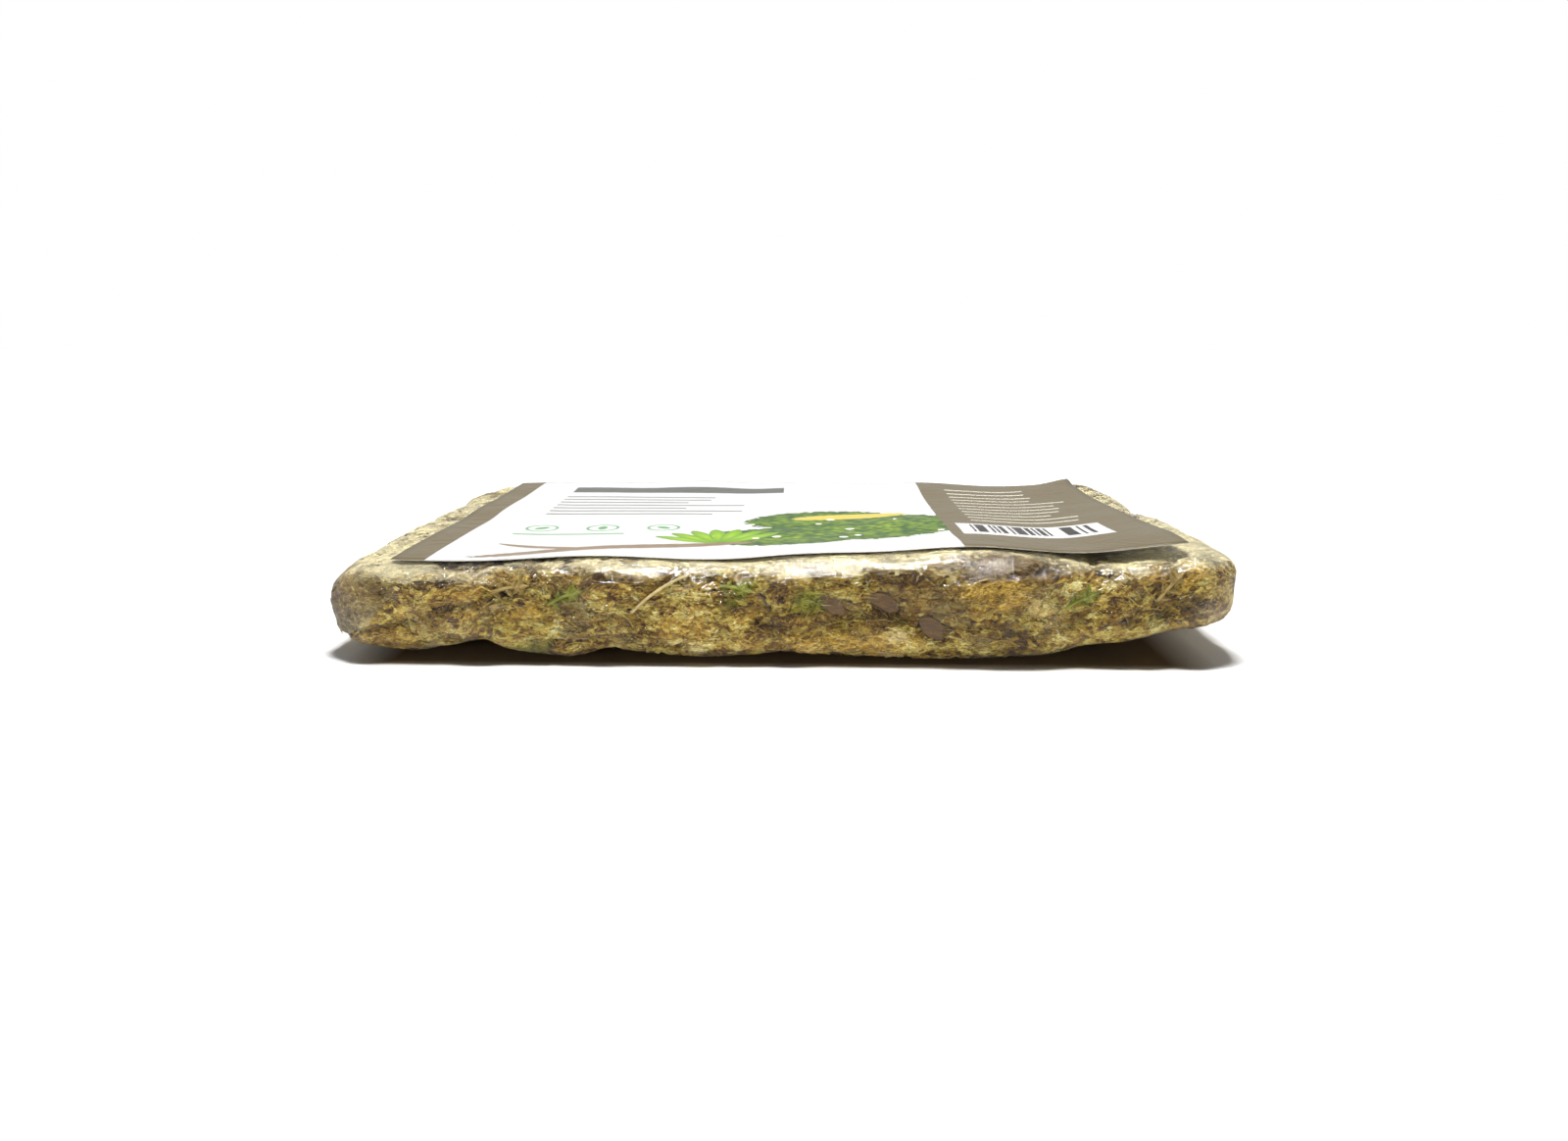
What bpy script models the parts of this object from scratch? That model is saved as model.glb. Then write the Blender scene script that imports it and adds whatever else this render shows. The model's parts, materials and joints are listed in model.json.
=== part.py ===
"""Pressed slab of dried sphagnum moss in clear shrink film, with a printed label on top.

Metres, +Z up. X runs along the slab's length, Y towards its back, and the origin is the middle
of the bounding box's base. The solids are built from one rounded slab form: the moss carries
raised branches and star-shaped heads, loose pieces lie in shallow beds in its surface, the film
is one wall stretched over all of them, and the label lies on the film.
"""

import math
import random

import bmesh
import bpy
import numpy as np
from mathutils import Vector, noise
from mathutils.bvhtree import BVHTree

MM = 0.001
SEED = 41

# Driving dimensions, metres
SLAB_LENGTH = 214.6 * MM
SLAB_DEPTH = 142.6 * MM
SLAB_TOP = 21.9 * MM
SLAB_BASE = 0.9 * MM
EDGE_RADIUS = 5.4 * MM
CORNER_RADIUS = 12.5 * MM
GRID_STEP = 1.6 * MM

LABEL_LENGTH = 190.0 * MM
LABEL_DEPTH = 130.0 * MM
LABEL_THICK = 0.3 * MM
LABEL_OVER_FILM = 0.82 * MM
LABEL_STEP = 12.0 * MM
LABEL_CURL = 1.9 * MM
LABEL_CURL_REACH = 46.0 * MM
LABEL_CENTRE = (1.6 * MM, 1.2 * MM)

FILM_WALL = 0.4 * MM
FILM_CLEAR = 0.7 * MM
FILM_SLOPE = 0.5
FILM_TRIANGLES = 1800
VENT_RADIUS = 3.0 * MM
VENT_X = (-62.0 * MM, 3.0 * MM, 66.0 * MM)

CORE_TRIANGLES = 2000
TOUCHING_GAP = 0.3 * MM
GAP_MARGIN = 0.05 * MM
BED_DEPTH = 1.3 * MM
MOST_PUSH = 0.25 * MM
REST_BAND = 0.04 * MM
INNER_FLOOR = FILM_WALL + TOUCHING_GAP + 2 * GAP_MARGIN
AIM_FROM = 0.2
BED_EASE = (0.8 * MM, 2.4 * MM)
BED_MARGIN = 0.9 * MM
LABEL_RIM = 4.0 * MM
SPREAD_PASSES = 14
CLEARING_PASSES = 14
LIFT_STEP = 0.08 * MM
MOST_LIFTS = 20

# Height of the underside over the table, as (X, height) in millimetres: across the whole depth,
# and what the front and back edges add to it
ENDS_LIFT = ((-110, 2.8), (-98, 1.3), (-84, 0.0), (62, 0.0), (80, 2.2), (96, 5.2), (110, 7.6))
FRONT_LIFT = (
    (-110, 2.2), (-104, 1.6), (-92, 1.0), (-79, 2.4), (-70.5, 4.6), (-62, 1.6), (-50, 0.6),
    (-40, 2.4), (-28, 1.2), (-17, 0.2), (0, 1.9), (18, 1.0), (40, 0.0), (60, 1.3), (72, 2.4),
    (86, 2.6), (110, 2.4),
)
BACK_LIFT = (
    (-110, 2.6), (-92, 1.2), (-74, 2.6), (-48, 0.6), (-22, 2.2), (10, 0.8), (38, 2.8), (64, 1.2),
    (88, 2.4), (110, 1.2),
)
# The top near its front and back edges, as (X, height over its general level) in millimetres
TOP_FRONT = (
    (-110, -1.8), (-93, -1.5), (-57, -0.9), (-36, -0.4), (-15, -0.6), (8, 0.4), (23, 0.6),
    (34, 1.4), (44, 2.2), (54, 1.8), (64, 0.6), (80, -0.2), (92, 0.9), (101, 3.0), (110, 3.4),
)
TOP_BACK = (
    (-110, -0.3), (-93, 0.2), (-63, 1.1), (-36, 1.3), (0, 1.1), (33, 0.9), (50, 0.6), (67, 0.1),
    (84, -1.2), (92, -0.2), (100, 2.0), (110, 0.7),
)

# Colour and roughness of each finish
FINISHES = {
    "pale_moss": ((0.52, 0.43, 0.21), 0.9),
    "green_moss": ((0.20, 0.27, 0.04), 0.85),
    "golden_moss": ((0.46, 0.27, 0.05), 0.85),
    "straw": ((0.58, 0.48, 0.26), 0.7),
    "twig_bark": ((0.11, 0.065, 0.04), 0.8),
    "brown_leaf": ((0.22, 0.11, 0.06), 0.7),
    "clear_film": ((0.93, 0.94, 0.92), 0.08),
    "printed_label": ((0.86, 0.87, 0.86), 0.3),
}


def clear_scene():
    for obj in list(bpy.data.objects):
        bpy.data.objects.remove(obj)


def finish(name):
    """The Principled material of one finish, made once."""
    found = bpy.data.materials.get(name)
    if found:
        return found
    colour, roughness = FINISHES[name]
    material = bpy.data.materials.new(name)
    material.use_nodes = True
    shader = material.node_tree.nodes["Principled BSDF"]
    shader.inputs["Base Color"].default_value = (*colour, 1.0)
    shader.inputs["Roughness"].default_value = roughness
    shader.inputs["Metallic"].default_value = 0.0
    if name == "clear_film":
        shader.inputs["Alpha"].default_value = 0.12
    return material


def add_object(name, points, faces, material):
    mesh = bpy.data.meshes.new(name)
    mesh.from_pydata([tuple(p) for p in points], [], faces)
    mesh.materials.append(finish(material))
    obj = bpy.data.objects.new(name, mesh)
    bpy.context.scene.collection.objects.link(obj)
    return obj


def apply_modifiers(obj):
    """The object's evaluated mesh takes the place of its own, and its modifiers go."""
    bpy.context.view_layer.update()
    graph = bpy.context.evaluated_depsgraph_get()
    made = bpy.data.meshes.new_from_object(obj.evaluated_get(graph))
    obj.modifiers.clear()
    obj.data = made


def smoothstep(low, high, value):
    t = min(1.0, max(0.0, (value - low) / (high - low)))
    return t * t * (3.0 - 2.0 * t)


def profile(stations, x):
    """Height in metres at x, eased between stations given in millimetres."""
    x_mm = x / MM
    if x_mm <= stations[0][0]:
        return stations[0][1] * MM
    for (x0, z0), (x1, z1) in zip(stations, stations[1:]):
        if x_mm <= x1:
            return (z0 + (z1 - z0) * smoothstep(x0, x1, x_mm)) * MM
    return stations[-1][1] * MM


def near_edge(y, start):
    """0 in the middle of the depth, rising past start (a share of the half depth) to 1 at its edge."""
    reach = SLAB_DEPTH / 2
    return smoothstep(start * reach, reach, abs(y))


def underside(x, y):
    edge = profile(FRONT_LIFT if y < 0 else BACK_LIFT, x) * near_edge(y, 0.5)
    return SLAB_BASE + profile(ENDS_LIFT, x) + edge


def top_side(x, y):
    """The slab's top: its front and back levels run into each other across the depth."""
    swell = 0.3 * MM * noise.noise(Vector((x / 0.045, y / 0.045, 3.7)))
    back = smoothstep(-0.75 * SLAB_DEPTH / 2, 0.75 * SLAB_DEPTH / 2, y)
    return SLAB_TOP + swell + profile(TOP_FRONT, x) * (1 - back) + profile(TOP_BACK, x) * back


def nearest_in_plan(x, y):
    """The nearest point to (x, y) of the slab's plan, drawn in by the edge radius."""
    radius = CORNER_RADIUS - EDGE_RADIUS
    flat_x = SLAB_LENGTH / 2 - EDGE_RADIUS - radius
    flat_y = SLAB_DEPTH / 2 - EDGE_RADIUS - radius
    core_x = min(flat_x, max(-flat_x, x))
    core_y = min(flat_y, max(-flat_y, y))
    dx, dy = x - core_x, y - core_y
    away = math.hypot(dx, dy)
    if away <= radius:
        return x, y
    return core_x + dx * radius / away, core_y + dy * radius / away


def slab_form(point):
    """(place, outward direction) on the rounded, wavy slab for a point of the plain cuboid."""
    x, y, z = point
    half_thick = (SLAB_TOP - SLAB_BASE) / 2
    plan_x, plan_y = nearest_in_plan(x, y)
    core_z = min(half_thick - EDGE_RADIUS, max(EDGE_RADIUS - half_thick, z))
    outward = Vector((x - plan_x, y - plan_y, z - core_z)).normalized()
    place = Vector((plan_x, plan_y, core_z)) + outward * EDGE_RADIUS
    wobble_x = 1.6 * MM * noise.noise(Vector((place.y / 0.034, 8.1, place.z / 0.05)))
    wobble_y = 1.5 * MM * noise.noise(Vector((place.x / 0.038, 2.3, place.z / 0.05)))
    place.x += wobble_x * place.x / (SLAB_LENGTH / 2)
    place.y += wobble_y * place.y / (SLAB_DEPTH / 2)
    rise = (place.z + half_thick) / (2 * half_thick)
    low, high = underside(place.x, place.y), top_side(place.x, place.y)
    place.z = low + rise * (high - low)
    return place, outward


def cuboid_grid(step):
    """Points on a plain cuboid of the slab's size, about step apart, and its outward quads."""
    half = (SLAB_LENGTH / 2, SLAB_DEPTH / 2, (SLAB_TOP - SLAB_BASE) / 2)
    counts = [max(2, round(2 * h / step)) for h in half]
    axes = [np.linspace(-h, h, n + 1) for h, n in zip(half, counts)]
    index, points, faces = {}, [], []

    def vertex(cell):
        if cell not in index:
            index[cell] = len(points)
            points.append(tuple(axes[k][cell[k]] for k in range(3)))
        return index[cell]

    for fixed in range(3):
        u, v = (fixed + 1) % 3, (fixed + 2) % 3
        for end in (0, counts[fixed]):
            for i in range(counts[u]):
                for j in range(counts[v]):
                    corners = []
                    for du, dv in ((0, 0), (1, 0), (1, 1), (0, 1)):
                        cell = [0, 0, 0]
                        cell[fixed], cell[u], cell[v] = end, i + du, j + dv
                        corners.append(vertex(tuple(cell)))
                    faces.append(corners if end else corners[::-1])
    return points, faces


def ridges(value):
    """Sharp crests and round hollows from a noise value between -1 and 1."""
    return 1.0 - 2.0 * abs(value)


def moss_relief(place, outward):
    """Height of the moss over the slab form: pressed layers on the sides, flakes above and below."""
    side = math.hypot(outward.x, outward.y) ** 2
    drift = 3.0 * MM * noise.noise(Vector((place.x / 0.03, place.y / 0.03, 1.9)))
    layer = Vector((place.x / 0.021, place.y / 0.021, (place.z + drift) / 0.0055))
    layers = 0.75 * MM * ridges(noise.noise(layer))
    lumps = 0.9 * MM * noise.noise(Vector((place.x / 0.011, place.y / 0.011, place.z / 0.007)))
    flakes = 0.7 * MM * ridges(noise.noise(place / 0.0095))
    if outward.z < 0:
        flakes *= 0.4
    return side * (0.8 * layers + lumps) + (1 - side) * flakes


class Loose:
    """A loose piece that lies in a bed in the moss: its middle, its frame and half its reach."""

    def __init__(self, side, along, up, turn, reach, width):
        self.side, self.along, self.up = side, along * MM, up * MM
        self.turn = math.radians(turn)
        self.reach, self.width = reach * MM, width * MM

    def axes(self):
        """(middle of the face aimed at, rightwards, upwards, outward) of the side it lies on."""
        x, y, z = Vector((1, 0, 0)), Vector((0, 1, 0)), Vector((0, 0, 1))
        if self.side == "front":
            return Vector((self.along, -AIM_FROM, self.up)), x, z, -y
        if self.side == "back":
            return Vector((-self.along, AIM_FROM, self.up)), -x, z, y
        if self.side == "left":
            return Vector((-AIM_FROM, -self.along, self.up)), -y, z, -x
        if self.side == "right":
            return Vector((AIM_FROM, self.along, self.up)), y, z, x
        if self.side == "under":
            return Vector((self.along, -self.up, -AIM_FROM)), x, -y, -z
        return Vector((self.along, self.up, AIM_FROM)), x, y, z

    def frame(self):
        start, right, up, out = self.axes()
        c, s = math.cos(self.turn), math.sin(self.turn)
        return start, right * c + up * s, up * c - right * s, out

    def nearness(self, place, outward):
        """1 over the piece's bed, easing to 0 past its rim, for a place on the same side."""
        start, along, across, out = self.frame()
        if outward.dot(out) < 0.55:
            return 0.0
        gap = place - start
        a = abs(gap.dot(along)) - self.reach
        b = abs(gap.dot(across)) - self.width
        return 1.0 - smoothstep(*BED_EASE, max(a, b))


# Loose pieces seen through the film: side, distance along it, height or depth, turn, half length
# and half width, in millimetres and degrees
STALKS = {
    "straw_stalk_1": Loose("front", -27.2, 17.0, 32, 8.4, 1.0),
    "straw_stalk_2": Loose("back", 34.0, 12.5, -14, 13.0, 1.0),
    "straw_stalk_3": Loose("top", 103.0, 12.0, 84, 14.0, 1.0),
    "straw_stalk_4": Loose("under", -30.0, 22.0, 28, 15.0, 1.0),
}
TWIGS = {
    "twig_1": Loose("front", -3.2, 14.6, -57, 2.6, 0.9),
    "twig_2": Loose("back", -58.0, 12.5, 24, 7.0, 0.9),
    "twig_3": Loose("right", -30.0, 15.5, -16, 6.5, 0.9),
}
LEAF_FLAKES = {
    "brown_flake_1": Loose("front", 12.8, 14.2, -36, 3.9, 2.0),
    "brown_flake_2": Loose("front", 24.6, 15.0, -18, 4.4, 2.2),
    "brown_flake_3": Loose("front", 36.0, 9.0, -46, 4.2, 2.4),
    "brown_flake_4": Loose("back", 4.0, 11.5, 12, 5.0, 2.4),
    "brown_flake_5": Loose("left", 22.0, 12.0, -10, 5.0, 2.3),
}
GREEN_SPRIGS = {
    "green_sprig_1": Loose("front", -50.5, 15.6, 20, 4.6, 3.4),
    "green_sprig_2": Loose("front", -10.4, 18.0, -8, 3.9, 2.8),
    "green_sprig_3": Loose("front", 70.0, 15.6, 25, 4.4, 3.4),
    "green_sprig_4": Loose("back", -22.0, 12.8, 35, 5.0, 3.6),
    "green_sprig_5": Loose("right", 18.0, 16.0, 15, 4.6, 3.4),
}
GOLDEN_SPRIGS = {
    "golden_sprig_1": Loose("front", -63.5, 17.6, 10, 4.8, 3.2),
    "golden_sprig_2": Loose("front", 90.5, 18.6, 48, 4.8, 3.4),
    "golden_sprig_3": Loose("left", -24.0, 13.5, -30, 4.8, 3.6),
}
BEDS = [
    loose
    for group in (STALKS, TWIGS, LEAF_FLAKES, GREEN_SPRIGS, GOLDEN_SPRIGS)
    for loose in group.values()
]


def bedded(place, outward):
    return max(loose.nearness(place, outward) for loose in BEDS)


def under_label(place):
    inside_x = abs(place.x - LABEL_CENTRE[0]) < LABEL_LENGTH / 2 - LABEL_RIM
    inside_y = abs(place.y - LABEL_CENTRE[1]) < LABEL_DEPTH / 2 - LABEL_RIM
    return inside_x and inside_y and place.z > SLAB_TOP - LABEL_RIM


def moss_core(points, faces):
    """The slab's own mass, its relief thinned to few faces and pressed in where loose pieces lie."""
    placed = []
    for point in points:
        place, outward = slab_form(point)
        bed = bedded(place, outward)
        height = moss_relief(place, outward) * (1 - bed) - BED_DEPTH * bed
        if under_label(place):
            height = 0.0
        place = place + outward * height
        place.z = max(place.z, INNER_FLOOR)
        placed.append(place)
    core = add_object("moss_slab", placed, faces, "pale_moss")
    thin_out(core, CORE_TRIANGLES)
    return core


def thin_out(obj, triangles):
    """Collapses edges until about so many triangles are left."""
    now = 2 * len(obj.data.polygons)
    thin = obj.modifiers.new("thin", "DECIMATE")
    thin.ratio = triangles / now
    thin.use_collapse_triangulate = True
    apply_modifiers(obj)


def tree_of(*objects):
    """One search tree over the meshes of several objects, which all sit unmoved."""
    points, faces = [], []
    for obj in objects:
        start = len(points)
        points += [v.co.copy() for v in obj.data.vertices]
        faces += [[start + k for k in face.vertices] for face in obj.data.polygons]
    return BVHTree.FromPolygons(points, faces)


def blade(stations):
    """Points and triangles of a closed three-sided ridge, pointed at both ends.

    stations are (place, half width vector, height vector); the first and last are points.
    """
    points = [stations[0][0]]
    for place, wide, high in stations[1:-1]:
        points += [place - wide, place + wide, place + high]
    points.append(stations[-1][0])
    rings = len(stations) - 2
    tip = len(points) - 1
    faces = []
    for k in range(3):
        after = (k + 1) % 3
        faces.append([0, 1 + after, 1 + k])
        for ring in range(rings - 1):
            low, high = 1 + ring * 3, 1 + (ring + 1) * 3
            faces.append([low + k, low + after, high + after, high + k])
        last = 1 + (rings - 1) * 3
        faces.append([last + k, last + after, tip])
    return points, faces


def star(middle, rays, out, rise, sink):
    """Points and faces of a pressed moss head: a raised middle with a lobe to every other ray."""
    points = [middle + out * rise, middle - out * sink, *rays]
    faces = []
    for k in range(len(rays)):
        here, after = 2 + k, 2 + (k + 1) % len(rays)
        faces.append([0, here, after])
        faces.append([1, after, here])
    return points, faces


def outward_mesh(points, faces):
    """The same faces, turned to point outwards, as a mesh datablock."""
    mesh = bpy.data.meshes.new("repeat")
    mesh.from_pydata([tuple(p) for p in points], [], faces)
    shape = bmesh.new()
    shape.from_mesh(mesh)
    bmesh.ops.recalc_face_normals(shape, faces=shape.faces)
    bmesh.ops.triangulate(shape, faces=shape.faces)
    shape.to_mesh(mesh)
    shape.free()
    return mesh


def fuse(base, repeats):
    """Joins closed shapes to a base object with one Boolean union, and removes them."""
    group = bpy.data.collections.new(base.name + "_repeats")
    bpy.context.scene.collection.children.link(group)
    made = []
    for points, faces in repeats:
        obj = bpy.data.objects.new("repeat", outward_mesh(points, faces))
        group.objects.link(obj)
        made.append(obj)
    union = base.modifiers.new("union", "BOOLEAN")
    union.operation = "UNION"
    union.operand_type = "COLLECTION"
    union.collection = group
    union.solver = "MANIFOLD"
    apply_modifiers(base)
    for obj in made:
        bpy.data.objects.remove(obj)
    bpy.data.collections.remove(group)
    keep_outer_shell(base)


def keep_outer_shell(obj):
    """Drops every loose scrap and fills every sealed pocket: only the widest shell stays."""
    shape = bmesh.new()
    shape.from_mesh(obj.data)
    unseen, shells = set(shape.faces), []
    while unseen:
        shell, edge = set(), [unseen.pop()]
        while edge:
            face = edge.pop()
            shell.add(face)
            for neighbour in (f for e in face.edges for f in e.link_faces):
                if neighbour in unseen:
                    unseen.remove(neighbour)
                    edge.append(neighbour)
        shells.append(shell)
    main_shell = max(shells, key=len)
    loose = [face for shell in shells if shell is not main_shell for face in shell]
    if loose:
        bmesh.ops.delete(shape, geom=loose, context="FACES")
        shape.to_mesh(obj.data)
    shape.free()


def surface_spots(core, count, draw, weigh):
    """(place, normal) at count random spots of the core's surface, more where weigh is larger."""
    faces = list(core.data.polygons)
    weights = [face.area * weigh(face.center, face.normal) for face in faces]
    spots = []
    for face in draw.choices(faces, weights, k=count):
        corners = [core.data.vertices[k].co for k in face.vertices]
        a, b = draw.random(), draw.random()
        if a + b > 1:
            a, b = 1 - a, 1 - b
        place = corners[0] + (corners[1] - corners[0]) * a + (corners[2] - corners[0]) * b
        spots.append((place, face.normal.copy()))
    return spots


def lying_frame(normal, draw, spread):
    """Along and across directions on a surface: near level on the sides, any way round elsewhere."""
    if abs(normal.z) < 0.7:
        level = normal.cross(Vector((0, 0, 1))).normalized()
        up = level.cross(normal).normalized()
        angle = draw.gauss(0, spread) + (math.pi if draw.random() < 0.5 else 0)
    else:
        level = normal.cross(Vector((0, 1, 0))).normalized()
        up = level.cross(normal).normalized()
        angle = draw.uniform(0, 2 * math.pi)
    along = level * math.cos(angle) + up * math.sin(angle)
    return along, normal.cross(along)


def on_ground(ground, point, height):
    """The point moved to a height over the nearest surface, and the surface's normal there."""
    place, normal = ground.find_nearest(point)[:2]
    return place + normal * height, normal


def branch_repeat(ground, place, normal, draw):
    """One pressed leafy branch: a flat curved ridge that follows the surface, its underside sunk."""
    along, across = lying_frame(normal, draw, 0.4)
    length = draw.uniform(10, 17) * MM
    width = draw.uniform(1.5, 2.2) * MM
    bend = draw.uniform(-2.4, 2.4) * MM
    rise = draw.uniform(0.9, 1.3) * MM
    stations = []
    for share, size in ((0.0, 0.0), (0.3, 1.0), (0.68, 0.8), (1.0, 0.0)):
        aim = place + along * (share - 0.5) * length + across * bend * math.sin(math.pi * share)
        middle, out = on_ground(ground, aim, -0.45 * MM)
        stations.append((middle, out.cross(along) * width * size, out * (rise + 0.45 * MM) * size))
    return blade(stations)


def leaf_repeat(ground, place, normal, draw):
    """One broad pressed leaf: a short ridge, its underside sunk in."""
    along, across = lying_frame(normal, draw, 0.65)
    length = draw.uniform(6.5, 11.0) * MM
    width = draw.uniform(1.8, 2.9) * MM
    root, _ = on_ground(ground, place - along * length * 0.5, -0.5 * MM)
    middle, out = on_ground(ground, place - along * length * 0.08, -0.5 * MM)
    tip, _ = on_ground(ground, place + along * length * 0.5, -0.25 * MM)
    high = out * draw.uniform(1.3, 1.8) * MM
    return blade(((root, across, high), (middle, out.cross(along) * width, high), (tip, across, high)))


def head_repeat(ground, place, normal, draw):
    """One pressed moss head, its pointed lobes spread on the surface."""
    along, across = lying_frame(normal, draw, 1.5)
    lobes = draw.choice((5, 6))
    rays = []
    for k in range(2 * lobes):
        angle = math.pi * k / lobes
        reach, height = (draw.uniform(4.6, 7.2), -0.1) if k % 2 == 0 else (2.0, -0.5)
        ray = along * math.cos(angle) + across * math.sin(angle)
        rays.append(on_ground(ground, place + ray * reach * MM, height * MM)[0])
    return star(place, rays, normal, 1.0 * MM, 1.6 * MM)


def above_floor(shape):
    """The shape with its points kept over the level that the film needs beneath."""
    points, faces = shape
    for point in points:
        point.z = max(point.z, INNER_FLOOR)
    return points, faces


# What is fused to the slab: how it is made, how many, and how far apart
REPEATS = (
    (head_repeat, 26, 9.0 * MM),
    (branch_repeat, 86, 6.5 * MM),
    (leaf_repeat, 170, 4.6 * MM),
)


def build_moss_slab(points, faces):
    core = moss_core(points, faces)
    draw = random.Random(SEED)

    def weigh(place, normal):
        if under_label(place) or bedded(place, normal) > 0.02:
            return 0.0
        if abs(normal.z) < 0.75:
            return 7.0 if normal.y < -0.6 and normal.z > -0.4 else 4.0
        return 1.8 if normal.z > 0 else 0.1

    ground = tree_of(core)
    taken, repeats = [], []
    for make, count, apart in REPEATS:
        left = count
        for place, normal in surface_spots(core, 12 * count, draw, weigh):
            crowded = any((place - other).length < apart for other in taken)
            if not left or crowded:
                continue
            shape = make(ground, place, normal, draw)
            if clear_of_beds(shape[0]):
                taken.append(place)
                repeats.append(above_floor(shape))
                left -= 1
    fuse(core, repeats)
    return core


def clear_of_beds(points):
    """True if no corner of a repeat reaches over the bed of a loose piece."""
    for loose in BEDS:
        start, along, across, out = loose.frame()
        for point in points:
            gap = point - start
            same_side = gap.dot(out) < 0 and on_side(loose.side, point)
            over = abs(gap.dot(along)) < loose.reach + BED_MARGIN
            beside = abs(gap.dot(across)) < loose.width + BED_MARGIN
            if same_side and over and beside:
                return False
    return True


def on_side(side, point):
    """True for a point near that side's face."""
    near = 14 * MM
    return {
        "front": point.y < near - SLAB_DEPTH / 2,
        "back": point.y > SLAB_DEPTH / 2 - near,
        "left": point.x < near - SLAB_LENGTH / 2,
        "right": point.x > SLAB_LENGTH / 2 - near,
        "under": point.z < 8 * MM,
        "top": point.z > SLAB_TOP - 8 * MM,
    }[side]


def draped(loose, ground, outline_height):
    """A function that lays (along, across, height) of a loose piece on the moss below it."""
    start, along, across, out = loose.frame()

    def lay(a, b, height):
        aim = start + along * a + across * b
        hit = ground.ray_cast(aim, -out)[0]
        return hit + out * (height + TOUCHING_GAP + outline_height)

    return lay


def strand_on(loose, ground, length, bend, radius, sides, stations):
    """A round stem bent in a gentle arc and laid on the moss."""
    lay = draped(loose, ground, radius + 0.2 * MM)
    out = loose.frame()[3]
    line = []
    for k in range(stations):
        share = k / (stations - 1)
        line.append(lay((share - 0.5) * length, bend * math.sin(math.pi * share), 0))
    rings = []
    for k, place in enumerate(line):
        ahead = line[min(k + 1, stations - 1)] - line[max(k - 1, 0)]
        across = ahead.normalized().cross(out).normalized()
        size = radius * (1.0 - 0.35 * k / (stations - 1))
        rings.append((place, across * size, out * size))
    points, faces = [], []
    for place, wide, thick in rings:
        for side in range(sides):
            angle = 2 * math.pi * side / sides
            points.append(place + wide * math.cos(angle) + thick * math.sin(angle))
    for ring in range(stations - 1):
        low, high = ring * sides, (ring + 1) * sides
        for k in range(sides):
            after = (k + 1) % sides
            faces.append([low + k, low + after, high + after, high + k])
    faces.append(list(range(sides))[::-1])
    faces.append([(stations - 1) * sides + k for k in range(sides)])
    return points, faces


def closed_object(name, shape, material):
    obj = bpy.data.objects.new(name, outward_mesh(*shape))
    obj.data.materials.append(finish(material))
    bpy.context.scene.collection.objects.link(obj)
    return obj


def build_stalk(name, loose, ground):
    shape = strand_on(loose, ground, 2 * loose.reach, 1.1 * MM, 0.42 * MM, 6, 9)
    return closed_object(name, shape, "straw")


def build_twig(name, loose, ground):
    shape = strand_on(loose, ground, 2 * loose.reach, 0.3 * MM, 0.55 * MM, 6, 5)
    return closed_object(name, shape, "twig_bark")


def build_leaf_flake(name, loose, ground, draw):
    """A flat torn scrap of brown leaf with an uneven edge, 0.6 mm thick."""
    lay = draped(loose, ground, 0.12 * MM)
    rim = 11
    outline = []
    for k in range(rim):
        angle = 2 * math.pi * k / rim
        torn = draw.uniform(0.78, 1.0)
        outline.append((loose.reach * math.cos(angle) * torn, loose.width * math.sin(angle) * torn))
    points = [lay(a, b, 0.0) for a, b in outline]
    points += [lay(a, b, 0.6 * MM) for a, b in outline]
    points += [lay(0, 0, 0.0), lay(0, 0, 0.75 * MM)]
    faces = []
    for k in range(rim):
        after = (k + 1) % rim
        faces.append([2 * rim, after, k])
        faces.append([2 * rim + 1, rim + k, rim + after])
        faces.append([k, after, rim + after, rim + k])
    return closed_object(name, (points, faces), "brown_leaf")


def build_sprig(name, loose, ground, material, draw):
    """A moss shoot laid flat: a stem with a star head at its end and leafy branches on both sides."""
    lay = draped(loose, ground, 0.55 * MM)
    along, across, out = loose.frame()[1:]
    stem = strand_on(loose, ground, 1.7 * loose.reach, 0.4 * MM, 0.5 * MM, 4, 4)
    obj = closed_object(name, stem, material)
    head = lay(0.55 * loose.reach, 0, 0.0)
    rays = []
    for k in range(10):
        angle = math.pi * k / 5
        reach, height = 1.2 * MM, -0.3
        if k % 2 == 0:
            reach, height = draw.uniform(0.8, 1.0) * loose.width, -0.1
        ray = along * math.cos(angle) + across * math.sin(angle)
        rays.append(head + ray * reach + out * height * MM)
    parts = [star(head, rays, out, 0.6 * MM, 0.35 * MM)]
    for k in range(4):
        side = 1 if k % 2 else -1
        root = lay((draw.uniform(-0.06, 0.06) - 0.7 + 0.3 * k) * loose.reach, 0, 0.0)
        lean = side * draw.uniform(0.8, 1.1)
        ray = along * math.cos(lean) + across * math.sin(lean)
        length = draw.uniform(0.75, 0.95) * loose.width
        wide, low = ray.cross(out) * 0.66 * MM, out * draw.uniform(0.22, 0.3) * MM
        high = out * 0.75 * MM
        parts.append(
            blade(
                (
                    (root - ray * 0.35 * MM, wide, high),
                    (root - low + ray * length * 0.45, wide, high),
                    (root + ray * length, wide, high),
                )
            )
        )
    fuse(obj, parts)
    return obj


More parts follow.
